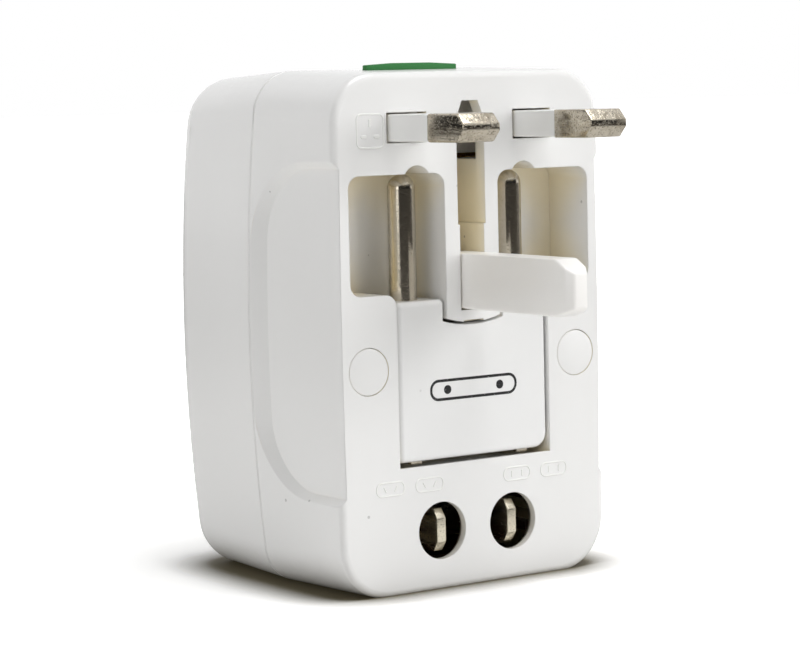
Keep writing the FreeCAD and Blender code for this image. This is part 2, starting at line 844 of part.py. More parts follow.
def lips():
    """The rear shell's locating lips, which reach into the front shell."""
    outer = SEAM.inset(WALL + LIP_FIT, SEAM_DEPTH - LIP_REACH)
    outer_end = SEAM.inset(WALL + LIP_FIT, SEAM_DEPTH)
    inner = SEAM.inset(WALL + LIP_FIT + LIP_THICK, SEAM_DEPTH - LIP_REACH - OVER)
    inner_end = SEAM.inset(WALL + LIP_FIT + LIP_THICK, SEAM_DEPTH + LIP_ROOT + OVER)
    root = SEAM.inset(WALL / 2, SEAM_DEPTH)
    root_end = SEAM.inset(WALL / 2, SEAM_DEPTH + LIP_ROOT)
    ring = loft(outer, outer_end).fuse(loft(root, root_end)).cut(loft(inner, inner_end))
    spans = [box(-FAR, FAR, -FAR, FAR, low, high) for low, high in LIP_SPANS]
    return ring.common(spans[0].fuse(spans[1:]))


def socket_openings(y0, y1):
    """The socket's openings: one of three joined shapes on each side, and one for an earth pin."""
    pin = box(
        UK_PIN_X - UK_SLOT_HALF_WIDE,
        UK_PIN_X + UK_SLOT_HALF_WIDE,
        y0,
        y1,
        SOCKET_Z - UK_SLOT_HALF_TALL,
        SOCKET_Z + UK_SLOT_HALF_TALL,
    )
    round_pin = rod_y(EU_HOLE_R, EU_PIN_X, SOCKET_Z, y0, y1)
    blade = box(
        BLADE_X - US_SLOT_HALF_WIDE,
        BLADE_X + US_SLOT_HALF_WIDE,
        y0,
        y1,
        SOCKET_Z - US_SLOT_HALF_TALL,
        SOCKET_Z + US_SLOT_HALF_TALL,
    )
    link = box(
        BLADE_X,
        UK_PIN_X,
        y0,
        y1,
        SOCKET_Z - UK_SLOT_HALF_TALL,
        SOCKET_Z + UK_SLOT_HALF_TALL,
    )
    earth_z = SOCKET_Z + SOCKET_EARTH_RISE
    earth = box(
        -EARTH_SLOT_HALF_WIDE,
        EARTH_SLOT_HALF_WIDE,
        y0,
        y1,
        earth_z - EARTH_SLOT_HALF_TALL,
        earth_z + EARTH_SLOT_HALF_TALL,
    )
    return both(pin.fuse([round_pin, blade, link])).fuse(earth)


def rear_shell():
    """The rear shell with the socket's openings and the posts that take the screws."""
    block = rear_block()
    back = BACK.inset(WALL, BACK_WALL)
    hollow = loft(SEAM.inset(WALL, SEAM_DEPTH - SKIN), back)
    shell = block.cut(hollow)
    post = rod_y(REAR_BOSS_R, SCREW_X, SCREW_Z, SEAM_DEPTH, BACK_WALL + SKIN)
    web = box(
        SCREW_X,
        FAR,
        SEAM_DEPTH + LIP_ROOT,
        BACK_WALL,
        SCREW_Z - RAIL_THICK / 2,
        SCREW_Z + RAIL_THICK / 2,
    )
    pad = box(-FLOOR_PAD_HALF, FLOOR_PAD_HALF, SEAM_DEPTH, BACK_WALL, 0, FLOOR_PAD_TOP)
    core = wall_core(SEAM, BACK)
    parts = [both(post), both(web).common(core), pad, lips()]
    parts.append(all_rails(SEAM_DEPTH + RAIL_SEAM_GAP, BACK_WALL - RAIL_BACK_GAP, core))
    shell = shell.fuse(parts)
    cuts = [knob_ways(), socket_openings(BACK_WALL - SKIN, BODY_DEPTH + OVER)]
    for _, side in SIDES:
        cuts.append(rod_y(SCREW_R, side * SCREW_X, SCREW_Z, SEAM_DEPTH - OVER, SCREW_END))
    return shell.cut(cuts)


def socket_insert():
    """The block behind the socket's openings, with a chamber for each contact."""
    block = box(
        -INSERT_HALF,
        INSERT_HALF,
        INSERT_FRONT,
        BACK_WALL,
        SOCKET_Z - INSERT_HALF_TALL,
        SOCKET_Z + INSERT_HALF_TALL,
    )
    chamber = box(
        CHAMBER_INNER,
        CHAMBER_OUTER,
        CHAMBER_FRONT,
        BACK_WALL + OVER,
        SOCKET_Z - CHAMBER_HALF_TALL,
        SOCKET_Z + CHAMBER_HALF_TALL,
    )
    way = box(
        BUS_OUTER - CONTACT_TAIL_WIDE - CONTACT_TAIL_FIT,
        BUS_OUTER + CONTACT_TAIL_FIT,
        INSERT_FRONT - OVER,
        CHAMBER_FRONT + OVER,
        SOCKET_Z - STRIP / 2 - CONTACT_TAIL_FIT,
        SOCKET_Z + STRIP / 2 + CONTACT_TAIL_FIT,
    )
    return block.cut(both(chamber.fuse(way)))


def socket_contact(side):
    """One socket contact: a base with two flat leaves, a blade leaf and a tail to the bus."""
    back = BACK_WALL - LEAF_FRONT_GAP
    outer = LEAF_GAP + STRIP
    base = box(
        CHAMBER_INNER + CONTACT_TAIL_FIT,
        LEAF_END,
        CHAMBER_FRONT,
        CHAMBER_FRONT + STRIP,
        SOCKET_Z - outer,
        SOCKET_Z + outer,
    )
    upper = box(
        LEAF_START, LEAF_END, CHAMBER_FRONT, back, SOCKET_Z + LEAF_GAP, SOCKET_Z + outer
    )
    lower = box(
        LEAF_START, LEAF_END, CHAMBER_FRONT, back, SOCKET_Z - outer, SOCKET_Z - LEAF_GAP
    )
    blade_start = CHAMBER_INNER + CONTACT_TAIL_FIT
    blade_leaf = box(
        blade_start,
        blade_start + STRIP,
        CHAMBER_FRONT,
        back,
        SOCKET_Z - outer,
        SOCKET_Z + outer,
    )
    tail = box(
        BUS_OUTER - CONTACT_TAIL_WIDE,
        BUS_OUTER,
        BUS_BACK,
        CHAMBER_FRONT,
        SOCKET_Z - STRIP / 2,
        SOCKET_Z + STRIP / 2,
    )
    return on_side(base.fuse([upper, lower, blade_leaf, tail]), side)


def bus(side):
    """One bus strip: a flat strip behind the recess, with a sprung finger and two end pads."""
    strip = box(BUS_INNER, BUS_OUTER, TUB_BACK, BUS_BACK, BUS_LOW, BUS_HIGH)
    high_pad = box(
        BUS_INNER, BUS_OUTER, TUB_BACK, TUB_BACK + BUS_HIGH_PAD, BUS_HIGH - STRIP, BUS_HIGH
    )
    low_pad = box(
        BUS_INNER, BUS_OUTER, TUB_BACK, TUB_BACK + BUS_LOW_PAD, BUS_LOW, BUS_LOW + STRIP
    )
    finger = prism_x(
        [
            (TUB_BACK, FINGER_LOW),
            (FINGER_TIP + FINGER_LEAD, FINGER_LOW),
            (FINGER_TIP, FINGER_LOW + FINGER_LEAD),
            (FINGER_TIP, FINGER_TOP),
            (FINGER_TIP + STRIP, FINGER_TOP),
            (FINGER_TIP + STRIP, FINGER_LOW + FINGER_LEAD + STRIP / 2),
            (FINGER_TIP + FINGER_LEAD + STRIP / 2, FINGER_LOW + STRIP),
            (TUB_BACK, FINGER_LOW + STRIP),
        ],
        BUS_INNER,
        BUS_INNER + FINGER_WIDE,
    )
    whole = strip.fuse([high_pad, low_pad, finger])
    holes = [rod_y(PEG_R + PEG_FIT, BUS_PEG_X, z, 0, BUS_BACK + OVER) for z in BUS_PEGS]
    return on_side(whole.cut(holes), side)


def earth_bracket():
    """The bracket behind the slot: a plate on pegs, with a tongue and two prongs for the axle."""
    back = TUB_BACK + BRACKET_THICK
    plate = box(-BRACKET_HALF, BRACKET_HALF, TUB_BACK, back, BRACKET_LOW, BRACKET_TOP)
    half = SLOT_NECK_HALF - AXLE_FIT * 2
    tongue = box(
        -half, half, SLOT_FLOOR_DEPTH, TUB_BACK, SLOT_LOW + BRACKET_GAP, BRACKET_TOP
    )
    prong = box(
        SLOT_NECK_HALF + AXLE_FIT * 2,
        AXLE_HALF,
        EARTH_HINGE_DEPTH + AXLE_R + AXLE_FIT,
        TUB_BACK,
        EARTH_HINGE_Z - AXLE_R,
        EARTH_HINGE_Z + AXLE_R,
    )
    holes = [rod_y(PEG_R + PEG_FIT, x, z, 0, back + OVER) for x, z in bracket_pegs()]
    return plate.fuse([tongue, both(prong)]).cut(holes)


def earth_axle():
    """The steel axle of the earth pin."""
    return rod_x(AXLE_R, EARTH_HINGE_DEPTH, EARTH_HINGE_Z, -AXLE_HALF, AXLE_HALF)


def earth_pin():
    """The plastic earth pin, folded out, with its bevelled tip and round root."""
    low = EARTH_HINGE_Z - EARTH_LOW
    high = low + EARTH_TALL
    back = EARTH_HINGE_DEPTH + EARTH_LOW
    bar = prism_x(
        [
            (EARTH_HINGE_DEPTH, low),
            (EARTH_TIP - EARTH_OUT, low),
            (-EARTH_OUT, low + EARTH_TIP_LOW),
            (-EARTH_OUT, high - EARTH_TIP_TOP),
            (EARTH_TIP - EARTH_OUT, high),
            (back, high),
            (back, EARTH_HINGE_Z),
            (EARTH_HINGE_DEPTH, EARTH_HINGE_Z),
        ],
        -EARTH_HALF,
        EARTH_HALF,
    )
    root = rod_x(EARTH_LOW, EARTH_HINGE_DEPTH, EARTH_HINGE_Z, -EARTH_HALF, EARTH_HALF)
    pin = bar.fuse(root)
    tip = EARTH_TIP_SIDE_LONG - EARTH_OUT
    taper = [
        V(EARTH_HALF, tip, 0),
        V(EARTH_HALF + OVER, tip, 0),
        V(EARTH_HALF + OVER, -EARTH_OUT - OVER, 0),
        V(EARTH_HALF - EARTH_TIP_SIDE, -EARTH_OUT, 0),
        V(EARTH_HALF, tip, 0),
    ]
    wedge = Part.Face(Part.makePolygon(taper)).extrude(V(0, 0, BODY_HEIGHT))
    bore = rod_x(AXLE_R + AXLE_FIT, EARTH_HINGE_DEPTH, EARTH_HINGE_Z, -OVER * 3, OVER * 3)
    return pin.cut([both(wedge), bore])


def uk_pin(side):
    """One flat metal pin with its narrow core and its tang through the carriage."""
    half_wide = UK_PIN_WIDE / 2
    half_tall = UK_PIN_TALL / 2
    tip_back = UK_TIP - UK_PIN_OUT
    head = prism_x(
        [
            (-UK_SLEEVE_OUT, UK_PIN_Z - half_tall),
            (-UK_SLEEVE_OUT, UK_PIN_Z + half_tall),
            (tip_back, UK_PIN_Z + half_tall),
            (-UK_PIN_OUT, UK_PIN_Z + UK_TIP_FLAT / 2),
            (-UK_PIN_OUT, UK_PIN_Z - UK_TIP_FLAT / 2),
            (tip_back, UK_PIN_Z - half_tall),
        ],
        UK_PIN_X - half_wide,
        UK_PIN_X + half_wide,
    )
    core = box(
        UK_PIN_X - UK_CORE_WIDE / 2,
        UK_PIN_X + UK_CORE_WIDE / 2,
        -UK_SLEEVE_OUT,
        UK_BAR_DEPTH + UK_SEAT,
        UK_PIN_Z - UK_CORE_TALL / 2,
        UK_PIN_Z + UK_CORE_TALL / 2,
    )
    tang = box(
        UK_PIN_X - UK_TANG_WIDE / 2,
        UK_PIN_X + UK_TANG_WIDE / 2,
        UK_BAR_DEPTH + UK_SEAT,
        UK_TANG_DEPTH,
        UK_PIN_Z - UK_TANG_TALL / 2,
        UK_PIN_Z + UK_TANG_TALL / 2,
    )
    return on_side(head.fuse([core, tang]), side)


def uk_sleeve(side):
    """The insulating sleeve round the pin's core, from the carriage to the bare metal."""
    half_wide = UK_PIN_WIDE / 2 - UK_SLEEVE_STEP
    half_tall = UK_PIN_TALL / 2 - UK_SLEEVE_STEP
    outer = round_box_y(
        UK_PIN_X - half_wide,
        UK_PIN_X + half_wide,
        -UK_SLEEVE_OUT,
        UK_BAR_DEPTH,
        UK_PIN_Z - half_tall,
        UK_PIN_Z + half_tall,
        UK_SLEEVE_STEP * 2,
    )
    return on_side(outer, side).cut(uk_pin(side))


def stem_mortise(x_half, y0, low, high):
    """The seat that a knob's stem fits, with its fitting clearance."""
    return box(
        -x_half - STEM_FIT, x_half + STEM_FIT, y0 - STEM_FIT, y0 + STEM_LONG + STEM_FIT, low, high
    )


def uk_carriage():
    """The bar that carries both flat pins, with ears for its rails and a lug for the knob."""
    bar = box(
        -UK_BAR_HALF, UK_BAR_HALF, UK_BAR_DEPTH, UK_BAR_BACK, UK_BAR_LOW, UK_BAR_HIGH
    )
    bar = bar.makeFillet(POCKET_CORNER / 2, edges_along(bar, Y_AXIS))
    half = UK_BAR_HALF + UK_EAR
    ears = box(
        -half,
        half,
        UK_BAR_DEPTH,
        UK_BAR_BACK,
        UK_PIN_Z - UK_EAR_TALL / 2,
        UK_PIN_Z + UK_EAR_TALL / 2,
    )
    lug = box(
        -UK_LUG_HALF,
        UK_LUG_HALF,
        UK_BAR_BACK - OVER,
        UK_LUG_BACK,
        UK_BAR_HIGH - UK_LUG_TALL,
        UK_BAR_HIGH,
    )
    mortise = stem_mortise(STEM_HALF, UK_STEM_FRONT, UK_BAR_HIGH - STEM_SEAT, FAR)
    return bar.fuse([ears, lug]).cut([mortise, uk_pin(-1), uk_pin(1)])


def ridges(y0, long, half, z0, z1):
    """The fine grooves across a knob, as blocks to cut away."""
    pitch = long / (KNOB_RIDGES + 1)
    cuts = []
    for index in range(KNOB_RIDGES):
        middle = y0 + pitch * (index + 1)
        cuts.append(box(-half, half, middle - RIDGE_LONG / 2, middle + RIDGE_LONG / 2, z0, z1))
    return cuts


def uk_knob():
    """The green knob on top: a flush grooved plate, a raised front lip and a stem."""
    low = UK_TRACK_FLOOR + TRACK_LIFT
    plate = box(
        -UK_KNOB_HALF,
        UK_KNOB_HALF,
        UK_KNOB_FRONT,
        UK_KNOB_FRONT + UK_KNOB_LONG,
        low,
        UK_KNOB_PLATE_TOP,
    )
    lip = prism_y(
        [
            (-UK_KNOB_HALF, low),
            (UK_KNOB_HALF, low),
            (UK_KNOB_HALF, UK_KNOB_TOP - UK_KNOB_SLOPE),
            (UK_KNOB_FLAT_HALF, UK_KNOB_TOP),
            (-UK_KNOB_FLAT_HALF, UK_KNOB_TOP),
            (-UK_KNOB_HALF, UK_KNOB_TOP - UK_KNOB_SLOPE),
        ],
        UK_KNOB_FRONT,
        UK_KNOB_FRONT + UK_KNOB_LIP,
    )
    stem = box(
        -STEM_HALF,
        STEM_HALF,
        UK_STEM_FRONT,
        UK_STEM_FRONT + STEM_LONG,
        UK_BAR_HIGH - STEM_SEAT,
        low,
    )
    bottom = UK_KNOB_PLATE_TOP - RIDGE_DEEP
    grooves = ridges(UK_KNOB_FRONT, UK_KNOB_LONG, UK_KNOB_HALF + OVER, bottom, FAR)
    return plate.fuse([lip, stem]).cut(grooves)


def uk_wiper(side):
    """The wiper on one pin's tang, which slides over the bus strip's upper pad."""
    half = UK_TANG_WIDE / 2 + STRIP
    low = BUS_HIGH + WIPER_GAP
    plate = box(
        UK_PIN_X - half,
        UK_PIN_X + half,
        UK_BAR_BACK,
        UK_BAR_BACK + STRIP,
        low,
        UK_PIN_Z + UK_TANG_TALL / 2 + STRIP,
    )
    foot = box(
        UK_PIN_X - WIPER_HALF,
        UK_PIN_X + WIPER_HALF,
        WIPER_FRONT,
        UK_BAR_BACK + STRIP,
        low,
        low + STRIP,
    )
    return on_side(plate.fuse(foot), side).cut(uk_pin(side))


def eu_pin(side):
    """One round pin with its domed end, the collar in the slab and the flat contact tail."""
    ball_z = EU_PIN_TOP - EU_PIN_R
    shank = rod_z(EU_PIN_R, EU_PIN_X, EU_PIN_DEPTH, EU_PIN_ROOT, ball_z)
    dome = Part.makeSphere(EU_PIN_R, V(EU_PIN_X, EU_PIN_DEPTH, ball_z))
    collar = rod_z(
        EU_COLLAR_R, EU_PIN_X, EU_PIN_DEPTH, EU_COLLAR_LOW, EU_COLLAR_LOW + EU_COLLAR_TALL
    )
    tail = box(
        EU_PIN_X - EU_TAIL_HALF,
        EU_PIN_X + EU_TAIL_HALF,
        EU_TAIL_FRONT,
        EU_TAIL_FRONT + EU_TAIL_THICK,
        EU_TAIL_LOW,
        EU_PIN_ROOT + EU_TAIL_OVERLAP,
    )
    return on_side(shank.fuse([dome, collar, tail]), side)


def slab_notch():
    """What the slab's top loses so that it can swing past the post's arched foot."""
    gap = SLAB_NOTCH_GAP
    swing = POST_FOOT - gap - EU_HINGE_Z
    ends = POST_FOOT + POST_ARC_RISE - gap
    low = [
        V(-SLAB_NOTCH_HALF, EU_HINGE_DEPTH, ends),
        V(0, EU_HINGE_DEPTH, EU_HINGE_Z + swing),
        V(SLAB_NOTCH_HALF, EU_HINGE_DEPTH, ends),
    ]
    arc = Part.Arc(*low).toShape()
    corners = [
        V(SLAB_NOTCH_HALF, EU_HINGE_DEPTH, ends),
        V(SLAB_NOTCH_HALF, EU_HINGE_DEPTH, POCKET_HIGH),
        V(-SLAB_NOTCH_HALF, EU_HINGE_DEPTH, POCKET_HIGH),
        V(-SLAB_NOTCH_HALF, EU_HINGE_DEPTH, ends),
    ]
    face = Part.Face(Part.Wire([arc] + Part.makePolygon(corners).Edges))
    hinge = V(0, EU_HINGE_DEPTH, EU_HINGE_Z)
    face.rotate(hinge, X_AXIS, -60)
    return face.revolve(hinge, X_AXIS, 120)


def at_slab_corner(edge):
    """True for the edge at the slab's lower right corner, which is the rounder one."""
    place = edge.CenterOfMass
    return place.x > 0 and place.z < EU_HINGE_Z


def on_slab_outline(edge):
    """True for an edge at one of the slab's three squarer corners."""
    place = edge.CenterOfMass
    wide = abs(abs(place.x) - SLAB_HALF) < SKIN
    tall = abs(place.z - SLAB_LOW) < SKIN or abs(place.z - SLAB_HIGH) < SKIN
    return wide and tall


def slab():
    """The whole slab of the two-pin plug, before it is split in two halves."""
    block = box(-SLAB_HALF, SLAB_HALF, SLAB_FRONT, SLAB_BACK, SLAB_LOW, SLAB_HIGH)
    corner = [edge for edge in edges_along(block, Y_AXIS) if at_slab_corner(edge)]
    block = block.makeFillet(SLAB_CORNER, corner)
    along = edges_along(block, Y_AXIS)
    square = [edge for edge in along if on_slab_outline(edge)]
    rims = [edge for edge in block.Edges if edge.BoundBox.YLength < SKIN]
    block = block.makeFillet(SLAB_EDGE, square + rims)
    relief = box(
        EU_PIN_X - EU_RELIEF_HALF,
        EU_PIN_X + EU_RELIEF_HALF,
        EU_RELIEF_FRONT,
        SLAB_BACK + OVER,
        SLAB_LOW - OVER,
        EU_RELIEF_HIGH,
    )
    return block.cut([slab_notch(), both(relief), eu_pin(-1), eu_pin(1)])


def slab_front():
    """The slab's front half, with the two trunnions it turns on."""
    half = slab().common(box(-FAR, FAR, -FAR, EU_PIN_DEPTH, -FAR, FAR))
    reach = SLAB_RECESS_HALF + TUB_WALL - TRUNNION_END_GAP
    trunnion = rod_x(
        TRUNNION_R, EU_HINGE_DEPTH, EU_HINGE_Z, SLAB_HALF - SLAB_EDGE, reach
    )
    inside = box(-FAR, FAR, -FAR, EU_PIN_DEPTH, -FAR, FAR)
    return half.fuse(both(trunnion.common(inside)))


def slab_back():
    """The slab's back half, which clamps the pins."""
    half = slab().common(box(-FAR, FAR, EU_PIN_DEPTH, FAR, -FAR, FAR))
    return half.cut(slab_front())


def blade(side):
    """One flat blade with clipped corners, a round tail and its peened head."""
    half_thick = BLADE_THICK / 2
    half_tall = BLADE_TALL / 2
    flat = prism_x(
        [
            (BLADE_ROOT, BLADE_Z - half_tall),
            (BLADE_TIP + BLADE_TIP_LONG, BLADE_Z - half_tall),
            (BLADE_TIP, BLADE_Z - half_tall + BLADE_TIP_TALL),
            (BLADE_TIP, BLADE_Z + half_tall - BLADE_TIP_TALL),
            (BLADE_TIP + BLADE_TIP_LONG, BLADE_Z + half_tall),
            (BLADE_ROOT, BLADE_Z + half_tall),
        ],
        BLADE_X - half_thick,
        BLADE_X + half_thick,
    )
    waist = rod_y(ROTOR_HUB_R - STRIP, BLADE_X, BLADE_Z, 0, BLADE_ROOT)
    slim = flat.common(waist.fuse(box(-FAR, FAR, -FAR, CARRIAGE_FRONT, -FAR, FAR)))
    head_front = CARRIAGE_BACK + STRIP + TAIL_FIT
    tail = rod_y(BLADE_TAIL_R, BLADE_X, BLADE_Z, BLADE_ROOT - OVER, head_front)
    head = rod_y(BLADE_HEAD_R, BLADE_X, BLADE_Z, head_front, head_front + BLADE_HEAD_THICK)
    return on_side(slim.fuse([tail, head]), side)


def rotor(side):
    """The round rotor that holds a blade and lets it turn in the carriage."""
    disc = rod_y(ROTOR_R, BLADE_X, BLADE_Z, ROTOR_FRONT, ROTOR_FRONT + ROTOR_DISC_THICK)
    hub = rod_y(
        ROTOR_HUB_R,
        BLADE_X,
        BLADE_Z,
        ROTOR_FRONT + ROTOR_DISC_THICK,
        CARRIAGE_BACK - TAIL_FIT,
    )
    return on_side(disc.fuse(hub), side).cut(blade(side))


def blade_carriage():
    """The carriage of both blades, with ears for its rails and a seat for the lower knob."""
    block = box(
        -CARRIAGE_HALF,
        CARRIAGE_HALF,
        CARRIAGE_FRONT,
        CARRIAGE_BACK,
        CARRIAGE_LOW,
        CARRIAGE_HIGH,
    )
    half = CARRIAGE_HALF + CARRIAGE_EAR
    ears = box(
        -half,
        half,
        CARRIAGE_FRONT,
        CARRIAGE_BACK,
        CARRIAGE_EAR_LOW,
        CARRIAGE_EAR_LOW + CARRIAGE_EAR_TALL,
    )
    bore = rod_y(
        ROTOR_HUB_R + ROTOR_HUB_FIT, BLADE_X, BLADE_Z, CARRIAGE_FRONT - OVER, CARRIAGE_BACK + OVER
    )
    seat_top = CARRIAGE_LOW + STEM_SEAT
    mortise = stem_mortise(STEM_HALF, blade_stem_front(), 0, seat_top)
    return block.fuse(ears).cut([both(bore), mortise])


def blade_knob():
    """The lower knob, sunk in its track so that the foot stays flat."""
    high = BLADE_KNOB_LOW + BLADE_KNOB_THICK
    plate = box(
        -BLADE_KNOB_HALF,
        BLADE_KNOB_HALF,
        BLADE_KNOB_FRONT,
        BLADE_KNOB_FRONT + BLADE_KNOB_LONG,
        BLADE_KNOB_LOW,
        high,
    )
    front = blade_stem_front()
    stem = box(
        -STEM_HALF, STEM_HALF, front, front + STEM_LONG, high, CARRIAGE_LOW + STEM_SEAT
    )
    grooves = ridges(
        BLADE_KNOB_FRONT,
        BLADE_KNOB_LONG,
        BLADE_KNOB_HALF + OVER,
        0,
        BLADE_KNOB_LOW + RIDGE_DEEP,
    )
    return plate.fuse(stem).cut(grooves)


def blade_wiper(side):
    """The wiper behind the carriage that keeps a rotor in and reaches the bus's lower pad."""
    foot_low = BUS_LOW - WIPER_GAP - STRIP
    back = CARRIAGE_BACK + STRIP
    plate = box(
        BLADE_WIPER_INNER,
        BLADE_WIPER_OUTER,
        CARRIAGE_BACK,
        back,
        BLADE_WIPER_LOW,
        foot_low + STRIP,
    )
    foot = box(
        BLADE_WIPER_FOOT,
        BLADE_WIPER_OUTER,
        CARRIAGE_BACK - BLADE_WIPER_REACH,
        back,
        foot_low,
        foot_low + STRIP,
    )
    hole = rod_y(BLADE_TAIL_R + TAIL_FIT, BLADE_X, BLADE_Z, CARRIAGE_BACK - OVER, back + OVER)
    return on_side(plate.fuse(foot).cut(hole), side)


def screw_cap(side):
    """The round cap over a housing screw, flush with the plug face."""
    return rod_y(CAP_R - CAP_FIT, side * SCREW_X, SCREW_Z, 0, CAP_THICK)


def housing_screw(side):
    """A housing screw, its head seated in the front shell's boss and its end in the rear post."""
    x = side * SCREW_X
    head_front = SCREW_SEAT_DEPTH - SCREW_HEAD_TALL
    head = rod_y(SCREW_HEAD_R, x, SCREW_Z, head_front, SCREW_SEAT_DEPTH)
    shank = rod_y(SCREW_R, x, SCREW_Z, SCREW_SEAT_DEPTH, SCREW_END)
    end = head_front + SCREW_CROSS_DEEP
    across = SCREW_CROSS / 2
    narrow = SCREW_CROSS_WIDE / 2
    level = box(x - across, x + across, 0, end, SCREW_Z - narrow, SCREW_Z + narrow)
    upright = box(x - narrow, x + narrow, 0, end, SCREW_Z - across, SCREW_Z + across)
    return head.fuse(shank).cut([level, upright])


def pieces():
    """Every piece of the adapter by its node's name."""
    made = {
        "front_shell": front_shell(),
        "front_shell_blade_wall": blade_wall(),
        "rear_shell": rear_shell(),
        "socket_insert": socket_insert(),
        "earth_pin_bracket": earth_bracket(),
        "earth_pin_axle": earth_axle(),
        "earth_pin": earth_pin(),
        "uk_carriage": uk_carriage(),
        "uk_knob": uk_knob(),
        "europe_slab_front": slab_front(),
        "europe_slab_back": slab_back(),
        "blade_carriage": blade_carriage(),
        "blade_knob": blade_knob(),
    }
    for name, side in SIDES:
        made["screw_cap_" + name] = screw_cap(side)
        made["housing_screw_" + name] = housing_screw(side)
        made["bus_strip_" + name] = bus(side)
        made["socket_contact_" + name] = socket_contact(side)
        made["uk_pin_" + name] = uk_pin(side)
        made["uk_sleeve_" + name] = uk_sleeve(side)
        made["uk_wiper_" + name] = uk_wiper(side)
        made["europe_pin_" + name] = eu_pin(side)
        made["blade_" + name] = blade(side)
        made["blade_rotor_" + name] = rotor(side)
        made["blade_wiper_" + name] = blade_wiper(side)
    return made


def main():
    os.makedirs("parts", exist_ok=True)
    for name, shape in sorted(pieces().items()):
        whole = shape.removeSplitter()
        whole.translate(V(0, -BODY_DEPTH / 2, 0))
        solids = whole.Solids
        placed = solids[0] if len(solids) == 1 else whole
        print(name, len(solids), whole.isValid(), round(whole.Volume, 1))
        placed.exportStep("parts/" + name + ".step")


main()
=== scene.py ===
import json
import math
from collections import namedtuple

import bmesh
import bpy
from bpy.props import FloatProperty, FloatVectorProperty, IntProperty, PointerProperty
from mathutils import Matrix, Vector


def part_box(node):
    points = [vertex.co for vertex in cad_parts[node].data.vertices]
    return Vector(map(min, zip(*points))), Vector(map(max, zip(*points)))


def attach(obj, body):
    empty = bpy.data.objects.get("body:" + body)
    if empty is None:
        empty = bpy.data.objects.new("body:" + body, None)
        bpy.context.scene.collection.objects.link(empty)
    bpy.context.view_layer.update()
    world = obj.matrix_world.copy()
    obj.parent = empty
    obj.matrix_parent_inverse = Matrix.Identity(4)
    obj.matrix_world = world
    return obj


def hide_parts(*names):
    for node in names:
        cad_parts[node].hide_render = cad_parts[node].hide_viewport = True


bl_info = {
    "name": "Travel adapter looks",
    "version": (1, 0, 0),
    "blender": (4, 5, 0),
    "location": "View3D > Sidebar > Adapter",
    "description": "Dresses the travel adapter's pieces and sets its stage",
    "category": "Object",
}

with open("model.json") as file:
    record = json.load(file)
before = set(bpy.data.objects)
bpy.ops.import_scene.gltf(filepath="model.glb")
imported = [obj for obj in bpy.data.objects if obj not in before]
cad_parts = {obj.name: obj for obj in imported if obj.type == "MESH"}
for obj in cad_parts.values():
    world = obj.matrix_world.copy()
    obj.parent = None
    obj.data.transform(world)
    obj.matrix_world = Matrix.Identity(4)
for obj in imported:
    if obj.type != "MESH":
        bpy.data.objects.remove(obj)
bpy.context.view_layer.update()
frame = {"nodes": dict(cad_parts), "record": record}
SIDES = ("left", "right")
WHITE = (1.0, 1.0, 1.0, 1.0)

# Places read from the frame, in metres, the last one just past the blade wall's back
WALL_NEAR, WALL_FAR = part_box("front_shell_blade_wall")
FACE_PLANE = WALL_NEAR.y
SLAB_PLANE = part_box("europe_slab_front")[0].y
WALL_SLACK = 0.0001
WALL_BACK = WALL_FAR.y + WALL_SLACK

# The unlit space behind the blade holes, painted dark as shade, and how deep their rims stay light
SPACE_HALF = 0.0150
SPACE_LOW = 0.0012
SPACE_HIGH = 0.0160
SPACE_BACK = 0.0
RIM_DEPTH = 0.0012

# How closely meshes are joined, and from which angles they are rounded and kept sharp
SEAM_SLACK = 0.00002
MERGE = 0.000002
FLAT_WITHIN = math.radians(1)
ROUND_FROM = math.radians(28)
SHARP_FROM = math.radians(40)
SMALL_STEPS = 2
CORNER_STEPS = 6

# Plastic: counts are per metre, and a span runs from none to all of a mask
SHADE_COUNT = 38.0
SHADE_SPAN = (0.25, 0.75)
SHADE_DULL = 0.975
GRAIN_COUNT = 5200.0
GRAIN_BUMP = 0.05
GRAIN_DEPTH = 0.00002
HOLLOW_SPAN = (0.88, 0.5)
SPECK_COUNT = 420.0
SPECK_SIZE = 0.10
SPECK_RARITY = 0.965
SPECK_COLOUR = (0.05, 0.045, 0.04)
COAT_ROUGHNESS = 0.12

# Metal: likewise, with its soft edge as a share of the plastic's
METAL_EDGE = 0.7
PATCH_COUNT = 420.0
PATCH_SPAN = (0.44, 0.66)
PATCH_SHARE = 0.6
PATCH_ROUGHNESS = 0.10
SCRATCH_COUNTS = (1800.0, 240.0, 1500.0)
SCRATCH_SPAN = (0.52, 0.72)
SCRATCH_ROUGHNESS = 0.24
PIT_COUNT = 3400.0
PIT_SPAN = (0.58, 0.68)
PIT_SHARE = 0.7
PIT_DARK = 0.35
SCUFF_BUMP = 0.5
SCUFF_DEPTH = 0.00005
STEEL_DULL = 0.6

# The flat pins' sign on the face: its place and size, then each pin's shift and size in it
FLAT_PIN_SIGN = (-0.01735, 0.0659)
FLAT_PIN_SIGN_SIZE = (0.0048, 0.0050)
FLAT_PIN_MARKS = (
    (-0.0011, -0.0008, 0.0011, 0.0006),
    (0.0011, -0.0008, 0.0011, 0.0006),
    (0.0, 0.0011, 0.0006, 0.0012),
)

# Its corners, as shares of a sign's height and of each pin's width
FLAT_PIN_SIGN_CORNER = 0.4
FLAT_PIN_MARK_CORNER = 0.25

# The blades' signs: middles and turns, then shares of a sign's height
BLADE_SIGNS = (
    ("angled_blade_sign", -0.01185, math.radians(30)),
    ("upright_blade_sign", 0.0107, 0.0),
)
BLADE_SIGN_Z = 0.0153
RING_STEP = 1.55
RING_WIDTH = 2.3
RING_CORNER = 0.45
MARK_STEP = 0.42
MARK_WIDTH = 0.14
MARK_TALL = 0.46
MARK_CORNER = 0.06

